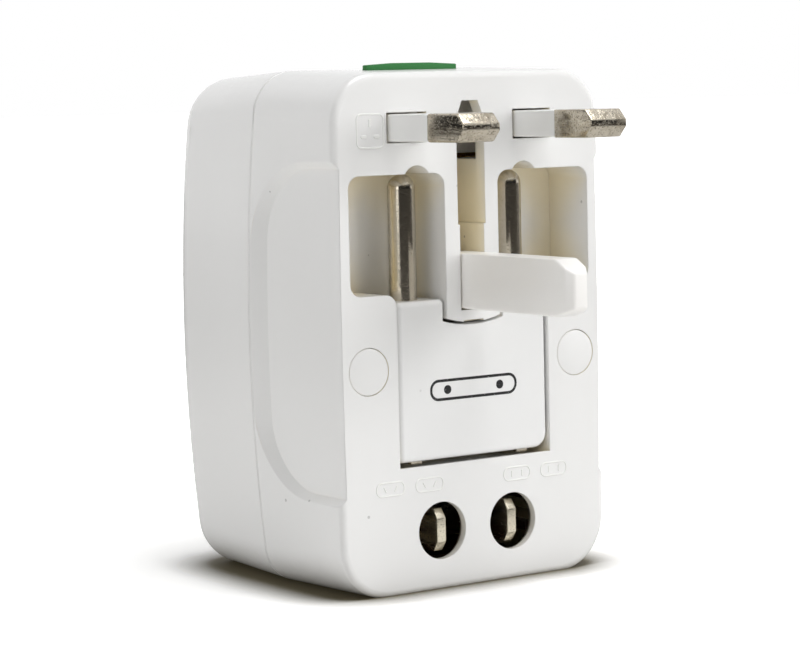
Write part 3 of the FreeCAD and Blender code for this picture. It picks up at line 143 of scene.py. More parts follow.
# The round pins' printed sign: its place, then shares of its width or height
ROUND_PIN_SIGN = (-0.0001, 0.0286)
PRINT_CORNER = 0.48
DOT_STEP = 0.3
DOT_SIZE = 0.42
DOT_CORNER = 0.2
INK_COUNT = 3200.0
INK_SPAN = (0.6, 0.75)
INK_WEAR = 0.35

# The lights: place, size and whether gloss shows it
LIGHTS = (
    ("front", (0.75, -1.0, 0.42), 0.8, False),
    ("side", (-0.8, 0.95, 0.15), 0.6, False),
    ("fill", (-1.15, -0.42, 0.12), 0.6, True),
    ("top", (0.15, -0.3, 1.1), 0.6, True),
)
AIM = Vector((0.0, 0.0, 0.035))

# The floor: reach and span of the painted contact shadow on it, then distances from its middle
FLOOR_HALF = 6.0
CONTACT_REACH = 0.010
CONTACT_SPAN = (0.95, 0.5)
FAR_SPAN = (0.15, 0.40)
LIFT_SPAN = (0.025, 0.085)
LIFT_LEAST = 0.3

# The sky in gloss: bright overhead, through a window and on a screen
HIGH_SPAN = (0.3, 0.6)
WINDOW_WAY = (0.94, -0.30, 0.10)
WINDOW_SPAN = (0.9, 0.95)
SCREEN_WAY = (0.57, 0.82, 0.0)
SCREEN_SPAN = (0.2, 0.6)

# The camera: its sensor in millimetres, and the nearest that it sees
SENSOR_WIDTH = 36.0
NEAREST_SEEN = 0.01

# A rounded rectangle on the face: its middle as X and Z, its size, its corners and its turn
Shape = namedtuple("Shape", "centre wide tall corner turn")


def colour_property(name, description, value):
    """A colour that a user would change."""
    return FloatVectorProperty(
        name=name, description=description, subtype="COLOR", size=3, min=0, max=1, default=value
    )


def length_property(name, description, value):
    """A length in metres that a user would change."""
    return FloatProperty(
        name=name, description=description, subtype="DISTANCE", unit="LENGTH", precision=5,
        default=value,
    )


def share_property(name, description, value):
    """A share between none and all."""
    return FloatProperty(
        name=name, description=description, subtype="FACTOR", min=0, max=1, default=value
    )


def angle_property(name, description, degrees):
    """An angle, given here in degrees."""
    return FloatProperty(
        name=name, description=description, subtype="ANGLE", default=math.radians(degrees)
    )


def power_property(name, description, value):
    """A light's power in watts."""
    return FloatProperty(name=name, description=description, unit="POWER", default=value)


def strength_property(name, description, value):
    """A strength without a unit."""
    return FloatProperty(name=name, description=description, default=value)


class AdapterFinish(bpy.types.PropertyGroup):
    """Colours and surface character of the adapter's materials."""

    shell: colour_property("Shell", "Gloss plastic of the casing", (0.86, 0.858, 0.85))
    slab: colour_property("Slab", "Gloss plastic of the folding slab", (0.86, 0.86, 0.855))
    # Earth pin and sleeves are paler than the shell: their own white plastic with painted light lifting
    # the sides that the casing shades from the lamps
    earth: colour_property("Earth pin", "Plastic of the earth pin", (0.96, 0.945, 0.92))
    sleeve: colour_property("Sleeve", "Plastic of the pin sleeves", (0.96, 0.96, 0.945))
    inner: colour_property("Inner", "Plastic of the pieces inside", (0.84, 0.82, 0.78))
    green: colour_property("Knob", "Plastic of the knobs", (0.05, 0.20, 0.065))
    rotor: colour_property("Rotor", "Dark plastic of the rotors", (0.010, 0.005, 0.004))
    nickel: colour_property("Nickel", "Plating of the pins", (0.56, 0.51, 0.42))
    tarnish: colour_property("Tarnish", "Dull patches in the plating", (0.26, 0.215, 0.15))
    # Paler than the pins' nickel: the blades' plating with a painted highlight brightening it
    blade: colour_property("Blade", "Plating of the blades", (0.80, 0.74, 0.60))
    brass: colour_property("Brass", "Strips and contacts inside", (0.72, 0.52, 0.22))
    steel: colour_property("Steel", "Axle and screws", (0.52, 0.52, 0.53))
    # Painted shade: a warm colour mixed into the plastic where occlusion finds hollows
    hollow_shade: colour_property("Hollow", "Warmer shade of the plastic in hollows", (0.97, 0.87, 0.63))
    # Painted shade: this dark colour is laid over the unlit space behind the blade holes
    cavity_shade: colour_property("Cavity", "Plastic behind the blade holes", (0.05, 0.025, 0.015))
    print_ink: colour_property("Ink", "Printed sign on the slab", (0.012, 0.012, 0.013))
    speck: share_property("Specks", "How dark the fine specks on the plastic are", 0.35)
    # How strongly the painted warm shade is mixed into hollows
    hollow_shade_strength: share_property("Hollows", "How much warmer the plastic is in hollows", 0.8)
    edge_radius: length_property("Edge radius", "Rounding of the small edges", 0.00028)


class AdapterSizes(bpy.types.PropertyGroup):
    """Sizes of what is added to the adapter's solids."""

    pin_edge: length_property("Pin edge", "Rounding of the flat pins' edges", 0.00035)
    earth_edge: length_property("Earth edge", "Rounding of the earth pin's edges", 0.00045)
    knob_edge: length_property("Knob edge", "Rounding of the knobs' edges", 0.00015)
    cap_edge: length_property("Cap edge", "Rounding of the screw caps' rims", 0.00016)
    mark_rise: length_property("Mark rise", "How far a raised sign stands out", 0.00010)
    mark_line: length_property("Mark line", "Width of a raised sign's outline", 0.00030)
    mark_tall: length_property("Mark height", "Height of a raised sign", 0.0022)
    ink_rise: length_property("Ink rise", "How thick the printed sign is", 0.00003)
    ink_line: length_property("Ink line", "Width of the printed sign's outline", 0.00042)
    ink_wide: length_property("Ink width", "Width of the printed sign", 0.0156)
    ink_tall: length_property("Ink height", "Height of the printed sign", 0.0031)
    edge_steps: IntProperty(
        name="Edge steps", description="Faces across each rounded edge", min=1, max=6, default=3
    )


class AdapterStage(bpy.types.PropertyGroup):
    """Camera, light and floor."""

    lens: FloatProperty(
        name="Lens", description="Focal length in millimetres", unit="CAMERA", default=120.75
    )
    yaw: angle_property("Yaw", "Camera's turn", 35.08)
    pitch: angle_property("Pitch", "Camera's dip", 5.244)
    roll: angle_property("Roll", "Camera's lean", -1.311)
    place: FloatVectorProperty(
        name="Place", description="Camera's place", subtype="XYZ", unit="LENGTH", precision=5,
        default=(-0.2297, -0.33054, 0.07266),
    )
    front: power_property("Front", "Power of the right front light", 8.2)
    side: power_property("Side", "Power of the left rear light", 6.8)
    fill: power_property("Fill", "Power of the left front light", 2.6)
    top: power_property("Top", "Power of the top light", 7.4)
    sky: strength_property("Sky", "Strength of the even light", 0.17)
    gleam: strength_property("Gleam", "Strength of the sky in gloss", 0.95)
    dim: strength_property("Dim", "Strength of the sky in gloss behind the camera", 0.03)
    floor: colour_property("Floor", "Colour of the floor", (0.90, 0.895, 0.88))
    # Painted contact shadow: mixed into the floor where occlusion finds the adapter close
    shade: colour_property("Floor shade", "Colour of the floor under the adapter", (0.12, 0.10, 0.055))
    # Painted reflection: the far floor is this dark only in gloss, so metal reflects dark there
    far: colour_property("Far floor", "Colour of the far floor in gloss", (0.02, 0.016, 0.012))


def finish_of(context):
    """The colours and surface settings of the scene."""
    return context.scene.adapter_finish


def sizes_of(context):
    """The sizes of the scene."""
    return context.scene.adapter_sizes


def stage_of(context):
    """The stage settings of the scene."""
    return context.scene.adapter_stage


class Nodes:
    """Short calls that place and link the nodes of one tree."""

    def __init__(self, tree):
        self.tree = tree

    def add(self, kind, **values):
        """A node with the given properties, and inputs given by name with underscores for spaces."""
        node = self.tree.nodes.new(kind)
        for key, value in values.items():
            if hasattr(node, key) and key not in node.inputs:
                setattr(node, key, value)
            else:
                self.fill(node, **{key: value})
        return node

    def feed(self, socket, value):
        """Links a socket to an output, or sets its own value."""
        if isinstance(value, bpy.types.NodeSocket):
            self.tree.links.new(value, socket)
        else:
            socket.default_value = value

    def fill(self, node, **values):
        """Links or sets a node's inputs by name, with underscores for spaces."""
        for key, value in values.items():
            self.feed(node.inputs[key.replace("_", " ")], value)

    def math(self, operation, first, second=0.0, clamp=False):
        """The result of one sum."""
        node = self.tree.nodes.new("ShaderNodeMath")
        node.operation = operation
        node.use_clamp = clamp
        self.feed(node.inputs[0], first)
        self.feed(node.inputs[1], second)
        return node.outputs[0]

    def product(self, first, *others):
        """All the values multiplied."""
        for other in others:
            first = self.math("MULTIPLY", first, other)
        return first

    def rest(self, value):
        """What a value leaves of one."""
        return self.math("SUBTRACT", 1.0, value)

    def agreement(self, first, second):
        """How far two directions agree."""
        node = self.tree.nodes.new("ShaderNodeVectorMath")
        node.operation = "DOT_PRODUCT"
        self.feed(node.inputs[0], first)
        self.feed(node.inputs[1], second)
        return node.outputs["Value"]

    def remap(self, value, span, low=0.0, high=1.0):
        """A value moved from a span to another range, and held inside it."""
        node = self.tree.nodes.new("ShaderNodeMapRange")
        self.feed(node.inputs["Value"], value)
        node.inputs["From Min"].default_value = span[0]
        node.inputs["From Max"].default_value = span[1]
        node.inputs["To Min"].default_value = low
        node.inputs["To Max"].default_value = high
        return node.outputs["Result"]

    def mix(self, factor, first, second):
        """One colour mixed into another."""
        node = self.tree.nodes.new("ShaderNodeMix")
        node.data_type = "RGBA"
        self.feed(node.inputs["Factor"], factor)
        self.feed(node.inputs["A"], first)
        self.feed(node.inputs["B"], second)
        return node.outputs["Result"]

    def noise(self, place, scale, detail, roughness=0.5, distortion=0.0):
        """Noise on a place, from nought to one."""
        node = self.tree.nodes.new("ShaderNodeTexNoise")
        self.feed(node.inputs["Vector"], place)
        node.inputs["Scale"].default_value = scale
        node.inputs["Detail"].default_value = detail
        node.inputs["Roughness"].default_value = roughness
        node.inputs["Distortion"].default_value = distortion
        return node.outputs["Fac"]

    def place(self):
        """The place on the object."""
        return self.add("ShaderNodeTexCoord").outputs["Object"]


def group_tree(name, inputs, outputs):
    """A new shader group with its named sockets, its nodes, its input node and its output node."""
    tree = bpy.data.node_groups.new(name, "ShaderNodeTree")
    for label in inputs:
        tree.interface.new_socket(label, in_out="INPUT", socket_type="NodeSocketFloat")
    for label, kind in outputs.items():
        tree.interface.new_socket(label, in_out="OUTPUT", socket_type=kind)
    nodes = Nodes(tree)
    return tree, nodes, nodes.add("NodeGroupInput"), nodes.add("NodeGroupOutput")


def shared_group(name, make):
    """A shader group that is built once."""
    return bpy.data.node_groups.get(name) or make(name)


def make_soft_edge(name):
    """A normal that turns gently over each edge."""
    tree, nodes, given, result = group_tree(name, ["Radius"], {"Normal": "NodeSocketVector"})
    bevel = nodes.add("ShaderNodeBevel", samples=6, Radius=given.outputs["Radius"])
    nodes.fill(result, Normal=bevel.outputs["Normal"])
    return tree


def make_plastic_skin(name):
    """Masks of moulded plastic: slow changes of tone, fine grain, hollows found by occlusion for
    painted shade, and sparse dark specks.
    """
    outputs = dict.fromkeys(("Shade", "Grain", "Crease", "Speck"), "NodeSocketFloat")
    tree, nodes, given, result = group_tree(name, ["Reach"], outputs)
    place = nodes.place()
    occlusion = nodes.add(
        "ShaderNodeAmbientOcclusion", samples=12, only_local=True, Distance=given.outputs["Reach"]
    )
    cells = nodes.add("ShaderNodeTexVoronoi", Vector=place, Scale=SPECK_COUNT)
    near = nodes.math("LESS_THAN", cells.outputs["Distance"], SPECK_SIZE)
    chance = nodes.add("ShaderNodeSeparateColor", Color=cells.outputs["Color"])
    rare = nodes.math("GREATER_THAN", chance.outputs["Red"], SPECK_RARITY)
    nodes.fill(
        result,
        Shade=nodes.noise(place, SHADE_COUNT, detail=0.0),
        Grain=nodes.noise(place, GRAIN_COUNT, detail=2.0, roughness=0.6),
        Crease=nodes.remap(occlusion.outputs["AO"], HOLLOW_SPAN),
        Speck=nodes.product(near, rare),
    )
    return tree


def make_blade_space(name):
    """A mask of the unlit space behind the blade holes."""
    tree, nodes, given, result = group_tree(name, [], {"Inside": "NodeSocketFloat"})
    tree.nodes.remove(given)
    parts = nodes.add("ShaderNodeSeparateXYZ", Vector=nodes.place())
    across = nodes.math("LESS_THAN", nodes.math("ABSOLUTE", parts.outputs["X"]), SPACE_HALF)
    above = nodes.math("GREATER_THAN", parts.outputs["Z"], SPACE_LOW)
    below = nodes.math("LESS_THAN", parts.outputs["Z"], SPACE_HIGH)
    before = nodes.math("LESS_THAN", parts.outputs["Y"], SPACE_BACK)
    behind = nodes.remap(parts.outputs["Y"], (FACE_PLANE + RIM_DEPTH, WALL_BACK))
    nodes.fill(result, Inside=nodes.product(across, above, below, before, behind))
    return tree


def make_metal_scuff(name):
    """Masks of worn plating: broad dull patches, short scratches and small pits."""
    outputs = dict.fromkeys(("Patch", "Scratch", "Pit"), "NodeSocketFloat")
    tree, nodes, given, result = group_tree(name, [], outputs)
    tree.nodes.remove(given)
    place = nodes.place()
    patch = nodes.noise(place, PATCH_COUNT, detail=6.0, roughness=0.7, distortion=0.8)
    along = nodes.add("ShaderNodeMapping", Vector=place, Scale=SCRATCH_COUNTS)
    scratch = nodes.noise(along.outputs["Vector"], 1.0, detail=4.0, roughness=0.7)
    pit = nodes.noise(place, PIT_COUNT, detail=2.0)
    nodes.fill(
        result,
        Patch=nodes.remap(patch, PATCH_SPAN),
        Scratch=nodes.remap(scratch, SCRATCH_SPAN),
        Pit=nodes.remap(pit, PIT_SPAN),
    )
    return tree


def fresh_material(name):
    """A new material with its nodes and its Principled BSDF."""
    material = bpy.data.materials.new(name)
    material.use_nodes = True
    return material, Nodes(material.node_tree), material.node_tree.nodes["Principled BSDF"]


def opaque(colour):
    """A colour with full cover."""
    return (*colour, 1.0)


def duller(colour, share):
    """A colour with only a share of its brightness."""
    return tuple(part * share for part in colour)


def grouped(nodes, name, make, **values):
    """The outputs of a shared group placed in a material."""
    node = nodes.add("ShaderNodeGroup")
    node.node_tree = shared_group(name, make)
    nodes.fill(node, **values)
    return node.outputs


def plastic(
    context, name, colour, roughness=0.26, coat=0.35, hollow_shade=1.0, speck=1.0, grain=0.0,
    reach=0.009, shine=0.5, unlit=False,
):
    """Moulded plastic with soft edges, painted warm shade in hollows and specks, and grain or painted
    dark shade in the unlit space if asked.
    """
    finish = finish_of(context)
    material, nodes, shader = fresh_material(name)
    edge = grouped(nodes, "Soft edge", make_soft_edge, Radius=finish.edge_radius)
    skin = grouped(nodes, "Plastic skin", make_plastic_skin, Reach=reach)
    dull = opaque(duller(colour, SHADE_DULL))
    shaded = nodes.mix(nodes.remap(skin["Shade"], SHADE_SPAN), dull, opaque(colour))
    # Painted shade: the hollow colour is mixed in where occlusion finds hollows
    held = nodes.math("MULTIPLY", skin["Crease"], finish.hollow_shade_strength * hollow_shade, clamp=True)
    hollow_shaded = nodes.mix(held, shaded, opaque(finish.hollow_shade))
    flecked = nodes.math("MULTIPLY", skin["Speck"], finish.speck * speck, clamp=True)
    outer = nodes.mix(flecked, hollow_shaded, opaque(SPECK_COLOUR))
    # Painted shade: the cavity colour darkens the unlit space behind the blade holes
    if unlit:
        space = grouped(nodes, "Blade space", make_blade_space)
        outer = nodes.mix(space["Inside"], outer, opaque(finish.cavity_shade))
    normal = edge["Normal"]
    if grain:
        bump = nodes.add(
            "ShaderNodeBump",
            Strength=GRAIN_BUMP * grain, Distance=GRAIN_DEPTH, Height=skin["Grain"], Normal=normal,
        )
        normal = bump.outputs["Normal"]
    nodes.fill(
        shader,
        Base_Color=outer, Roughness=roughness, Specular_IOR_Level=shine, Coat_Weight=coat,
        Coat_Roughness=COAT_ROUGHNESS, Normal=normal,
    )
    return material


def metal(context, name, colour, tarnish, roughness, wear):
    """Plated metal with dull patches, scratches and small pits."""
    finish = finish_of(context)
    material, nodes, shader = fresh_material(name)
    edge = grouped(nodes, "Soft edge", make_soft_edge, Radius=finish.edge_radius * METAL_EDGE)
    scuff = grouped(nodes, "Metal scuff", make_metal_scuff)
    patchy = nodes.math("MULTIPLY", scuff["Patch"], PATCH_SHARE * wear, clamp=True)
    toned = nodes.mix(patchy, opaque(colour), opaque(tarnish))
    pitted = nodes.math("MULTIPLY", scuff["Pit"], PIT_SHARE * wear, clamp=True)
    outer = nodes.mix(pitted, toned, opaque(duller(tarnish, PIT_DARK)))
    worn = nodes.math("MULTIPLY", scuff["Scratch"], SCRATCH_ROUGHNESS * wear)
    rubbed = nodes.math("MULTIPLY", scuff["Patch"], PATCH_ROUGHNESS * wear)
    rough = nodes.math("ADD", nodes.math("ADD", worn, rubbed), roughness, clamp=True)
    bump = nodes.add(
        "ShaderNodeBump",
        invert=True, Strength=SCUFF_BUMP * wear, Distance=SCUFF_DEPTH,
        Height=nodes.math("ADD", scuff["Scratch"], scuff["Pit"]), Normal=edge["Normal"],
    )
    nodes.fill(
        shader, Base_Color=outer, Metallic=1.0, Roughness=rough, Normal=bump.outputs["Normal"]
    )
    return material


def dress(material, *names):
    """Gives CAD nodes a material, by assigning to their slots."""
    for name in names:
        target = frame["nodes"][name]
        for slot in target.material_slots:
            slot.material = material
        if not target.material_slots:
            target.data.materials.append(material)


def both(stem):
    """The names of a node's left and right pieces."""
    return [f"{stem}_{side}" for side in SIDES]


def body_of(node):
    """The body that one node belongs to."""
    for body, members in frame["record"]["behaviour"]["bodies"].items():
        if node in members:
            return body
    raise ValueError(f"the record has no body for {node}")


def mesh_object(name, mesh):
    """A new object in the scene that holds a mesh."""
    piece = bpy.data.objects.new(name, mesh)
    bpy.context.scene.collection.objects.link(piece)
    return piece


def sharpen(mesh, angle):
    """Smooth faces, with the edges past an angle kept sharp."""
    work = bmesh.new()
    work.from_mesh(mesh)
    for face in work.faces:
        face.smooth = True
    for edge in work.edges:
        edge.smooth = len(edge.link_faces) == 2 and edge.calc_face_angle(0.0) < angle
    work.to_mesh(mesh)
    work.free()


def on_seam(face):
    """Whether a face lies where the blade wall meets the front shell around it."""
    inside = face.calc_center_median()
    if inside.y > WALL_BACK or abs(inside.x) > WALL_FAR.x + SEAM_SLACK:
        return False
    if not WALL_NEAR.z - SEAM_SLACK < inside.z < WALL_FAR.z + SEAM_SLACK:
        return False
    side = all(abs(abs(corner.co.x) - WALL_FAR.x) < SEAM_SLACK for corner in face.verts)
    lower = all(abs(corner.co.z - WALL_NEAR.z) < SEAM_SLACK for corner in face.verts)
    upper = all(abs(corner.co.z - WALL_FAR.z) < SEAM_SLACK for corner in face.verts)
    return side or lower or upper


def joined_casing(name, material, *nodes):
    """Stands in for the front shell's nodes with one closed copy, without the faces where they meet."""
    work = bmesh.new()
    origin = work.faces.layers.int.new("origin")
    normals = []
    places = []
    for node in nodes:
        source = frame["nodes"][node].data
        before = len(work.faces)
        work.from_mesh(source)
        work.faces.ensure_lookup_table()
        for face, polygon in zip(work.faces[before:], source.polygons):
            face[origin] = len(places)
            corners = [source.loops[loop].vertex_index for loop in polygon.loop_indices]
            places.append([source.vertices[corner].co.copy() for corner in corners])
            normals.append([source.corner_normals[loop].vector.copy() for loop in polygon.loop_indices])
    bmesh.ops.remove_doubles(work, verts=work.verts, dist=MERGE)
    gone = [face for face in work.faces if on_seam(face)]
    bmesh.ops.delete(work, geom=gone, context="FACES")
    mesh = bpy.data.meshes.new(name)
    work.to_mesh(mesh)
    work.free()
    chosen = []
    for polygon, entry in zip(mesh.polygons, mesh.attributes["origin"].data):
        polygon.use_smooth = True
        for index in polygon.loop_indices:
            place = mesh.vertices[mesh.loops[index].vertex_index].co
            gaps = [(corner - place).length for corner in places[entry.value]]
            chosen.append(normals[entry.value][gaps.index(min(gaps))])
    mesh.attributes.remove(mesh.attributes["origin"])
    mesh.normals_split_custom_set(chosen)
    mesh.materials.append(material)
    piece = mesh_object(name, mesh)
    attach(piece, body_of(nodes[0]))
    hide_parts(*nodes)


def clean_faces(mesh):
    """Closes the faces that a rounded edge left without area."""
    work = bmesh.new()
    work.from_mesh(mesh)
    bmesh.ops.remove_doubles(work, verts=work.verts, dist=MERGE)
    bmesh.ops.dissolve_degenerate(work, edges=work.edges, dist=MERGE)
    work.to_mesh(mesh)
    work.free()


def rounded_copy(node, name, width, steps, material):
    """Stands in for a CAD node with a copy whose flat faces are joined and its edges rounded."""
    mesh = frame["nodes"][node].data.copy()
    work = bmesh.new()
    work.from_mesh(mesh)
    bmesh.ops.remove_doubles(work, verts=work.verts, dist=MERGE)
    bmesh.ops.dissolve_limit(
        work, angle_limit=FLAT_WITHIN, verts=work.verts, edges=work.edges, delimit=set()
    )
    work.to_mesh(mesh)
    work.free()
    mesh.materials.clear()
    mesh.materials.append(material)
    piece = mesh_object(name, mesh)
    bevel = piece.modifiers.new("Rounded edges", "BEVEL")
    bevel.width = width
    bevel.segments = steps
    bevel.limit_method = "ANGLE"
    bevel.angle_limit = ROUND_FROM
    bevel.use_clamp_overlap = True
    bevel.miter_outer = "MITER_ARC"
    applied = bpy.data.meshes.new_from_object(
        piece.evaluated_get(bpy.context.evaluated_depsgraph_get())
    )
    piece.modifiers.clear()
    piece.data = applied
    clean_faces(applied)
    sharpen(applied, SHARP_FROM)
    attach(piece, body_of(node))
    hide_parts(node)


class ADAPTER_OT_shells(bpy.types.Operator):
    """Finish the casing, its caps and the pieces inside it"""

    bl_idname = "adapter.shells"
    bl_label = "Shells"

    def execute(self, context):
        finish = finish_of(context)
        sizes = sizes_of(context)
        shell = plastic(context, "shell_plastic", finish.shell, unlit=True)
        dress(shell, "rear_shell")
        joined_casing("front_casing", shell, "front_shell", "front_shell_blade_wall")
        cap = plastic(context, "cap_plastic", finish.shell)
        for side in SIDES:
            rounded_copy(f"screw_cap_{side}", f"round_cap_{side}", sizes.cap_edge, SMALL_STEPS, cap)
        inner = plastic(
            context, "inner_plastic", finish.inner, roughness=0.42, coat=0.0, unlit=True
        )
        dress(inner, "socket_insert", "earth_pin_bracket", "uk_carriage", "blade_carriage")
        return {"FINISHED"}


class ADAPTER_OT_metal_inside(bpy.types.Operator):
    """Finish the strips, contacts, wipers, screws and axle"""

    bl_idname = "adapter.metal_inside"
    bl_label = "Metal inside"

    def execute(self, context):
        finish = finish_of(context)
        brass = metal(
            context, "brass_strip", finish.brass, finish.tarnish, roughness=0.24, wear=0.5
        )
        for stem in ("bus_strip", "socket_contact", "uk_wiper", "blade_wiper"):
            dress(brass, *both(stem))
        dull = duller(finish.steel, STEEL_DULL)
        steel = metal(context, "steel_fastener", finish.steel, dull, roughness=0.28, wear=0.5)
        dress(steel, "earth_pin_axle", *both("housing_screw"))
        return {"FINISHED"}


class ADAPTER_OT_flat_plug(bpy.types.Operator):
    """Make the rounded flat pins, their sleeves and the knobs"""

    bl_idname = "adapter.flat_plug"
    bl_label = "Flat plug"

    def execute(self, context):
        finish = finish_of(context)
        sizes = sizes_of(context)
        steps = sizes.edge_steps
        nickel = metal(
            context, "nickel_flat", finish.nickel, finish.tarnish, roughness=0.12, wear=1.0
        )
        # The sleeve colour carries painted light for sides that the casing shades
        sleeve = plastic(
            context, "sleeve_plastic", finish.sleeve, roughness=0.36, coat=0.0, hollow_shade=0.5, reach=0.003
        )
        green = plastic(
            context, "green_plastic", finish.green, roughness=0.5, coat=0.0, hollow_shade=0.0, speck=0.3,
            grain=1.0, shine=0.15,
        )
        for side in SIDES:
            rounded_copy(f"uk_pin_{side}", f"flat_pin_{side}", sizes.pin_edge, steps, nickel)
            rounded_copy(f"uk_sleeve_{side}", f"pin_sleeve_{side}", sizes.pin_edge, steps, sleeve)
        rounded_copy("uk_knob", "top_knob", sizes.knob_edge, SMALL_STEPS, green)
        rounded_copy("blade_knob", "foot_knob", sizes.knob_edge, SMALL_STEPS, green)
        return {"FINISHED"}


class ADAPTER_OT_folding_pieces(bpy.types.Operator):
    """Make the earth pin, the slab and its round pins"""

    bl_idname = "adapter.folding_pieces"
    bl_label = "Folding pieces"

    def execute(self, context):
        finish = finish_of(context)
        sizes = sizes_of(context)
        # The earth colour carries painted light for sides that the casing shades
        earth = plastic(
            context, "earth_plastic", finish.earth, roughness=0.34, coat=0.15, hollow_shade=0.8, reach=0.003
        )
        rounded_copy("earth_pin", "folding_earth_pin", sizes.earth_edge, sizes.edge_steps, earth)
        slab = plastic(
            context, "slab_plastic", finish.slab, roughness=0.22, coat=0.3, hollow_shade=0.6, speck=0.4,
            reach=0.003,
        )
        dress(slab, "europe_slab_front", "europe_slab_back")
        nickel = metal(
            context, "nickel_round", finish.nickel, finish.tarnish, roughness=0.13, wear=0.22
        )
        dress(nickel, *both("europe_pin"))
        return {"FINISHED"}


class ADAPTER_OT_blades(bpy.types.Operator):
    """Make the flat blades and their rotors"""

    bl_idname = "adapter.blades"
    bl_label = "Blades"

    def execute(self, context):
        finish = finish_of(context)
        sizes = sizes_of(context)
        # The blade colour is the plating lightened as a painted highlight
        nickel = metal(
            context, "nickel_blade", finish.blade, finish.tarnish, roughness=0.2, wear=0.4
        )
        for side in SIDES:
            name = f"flat_blade_{side}"
            rounded_copy(f"blade_{side}", name, sizes.pin_edge, SMALL_STEPS, nickel)
        rotor = plastic(
            context, "rotor_plastic", finish.rotor, roughness=0.45, coat=0.0, hollow_shade=0.1, speck=0.0
        )
        dress(rotor, *both("blade_rotor"))
        return {"FINISHED"}


def outline_loop(work, shape, inset, corner, depth):
    """The corners of a rounded rectangle, drawn in by an inset, at a depth."""
    half_wide = shape.wide / 2 - inset - corner
    half_tall = shape.tall / 2 - inset - corner
    loop = []
    for quarter, (right, up) in enumerate(((1, 1), (-1, 1), (-1, -1), (1, -1))):
        for step in range(CORNER_STEPS + 1):
            angle = (quarter + step / CORNER_STEPS) * math.pi / 2
            x = right * half_wide + corner * math.cos(angle)
            z = up * half_tall + corner * math.sin(angle)
            across = shape.centre[0] + x * math.cos(shape.turn) - z * math.sin(shape.turn)
            height = shape.centre[1] + x * math.sin(shape.turn) + z * math.cos(shape.turn)
            loop.append(work.verts.new((across, depth, height)))
    return loop


def bridge(work, first, second):
    """Faces between two loops of as many corners."""
    for index in range(len(first)):
        after = (index + 1) % len(first)
        work.faces.new((first[index], first[after], second[after], second[index]))


def raised_outline(work, shape, line, plane, rise):
    """A raised line around a rounded rectangle, with sloping sides."""
    slope = min(rise, line / 4)
    loops = []
    for inset, height in ((0.0, -rise / 4), (slope, rise), (line - slope, rise), (line, -rise / 4)):
        corner = max(shape.corner - inset, line / 10)
        loops.append(outline_loop(work, shape, inset, corner, plane - height))
    for first, second in zip(loops, loops[1:] + loops[:1]):
        bridge(work, first, second)


def raised_patch(work, shape, plane, rise):
    """A raised rounded rectangle with sloping sides."""
    slope = min(rise, shape.tall / 4, shape.wide / 4)
    corner = max(shape.corner - slope, shape.corner / 4)
    foot = outline_loop(work, shape, 0.0, shape.corner, plane + rise / 4)
    top = outline_loop(work, shape, slope, corner, plane - rise)
    bridge(work, foot, top)
    work.faces.new(top)
    work.faces.new(list(reversed(foot)))


def sign_piece(name, work, material, body):
    """Turns a sign's faces outward and makes its object."""
    bmesh.ops.recalc_face_normals(work, faces=work.faces)
    mesh = bpy.data.meshes.new(name)
    work.to_mesh(mesh)
    work.free()
    mesh.materials.append(material)
    piece = mesh_object(name, mesh)
    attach(piece, body)


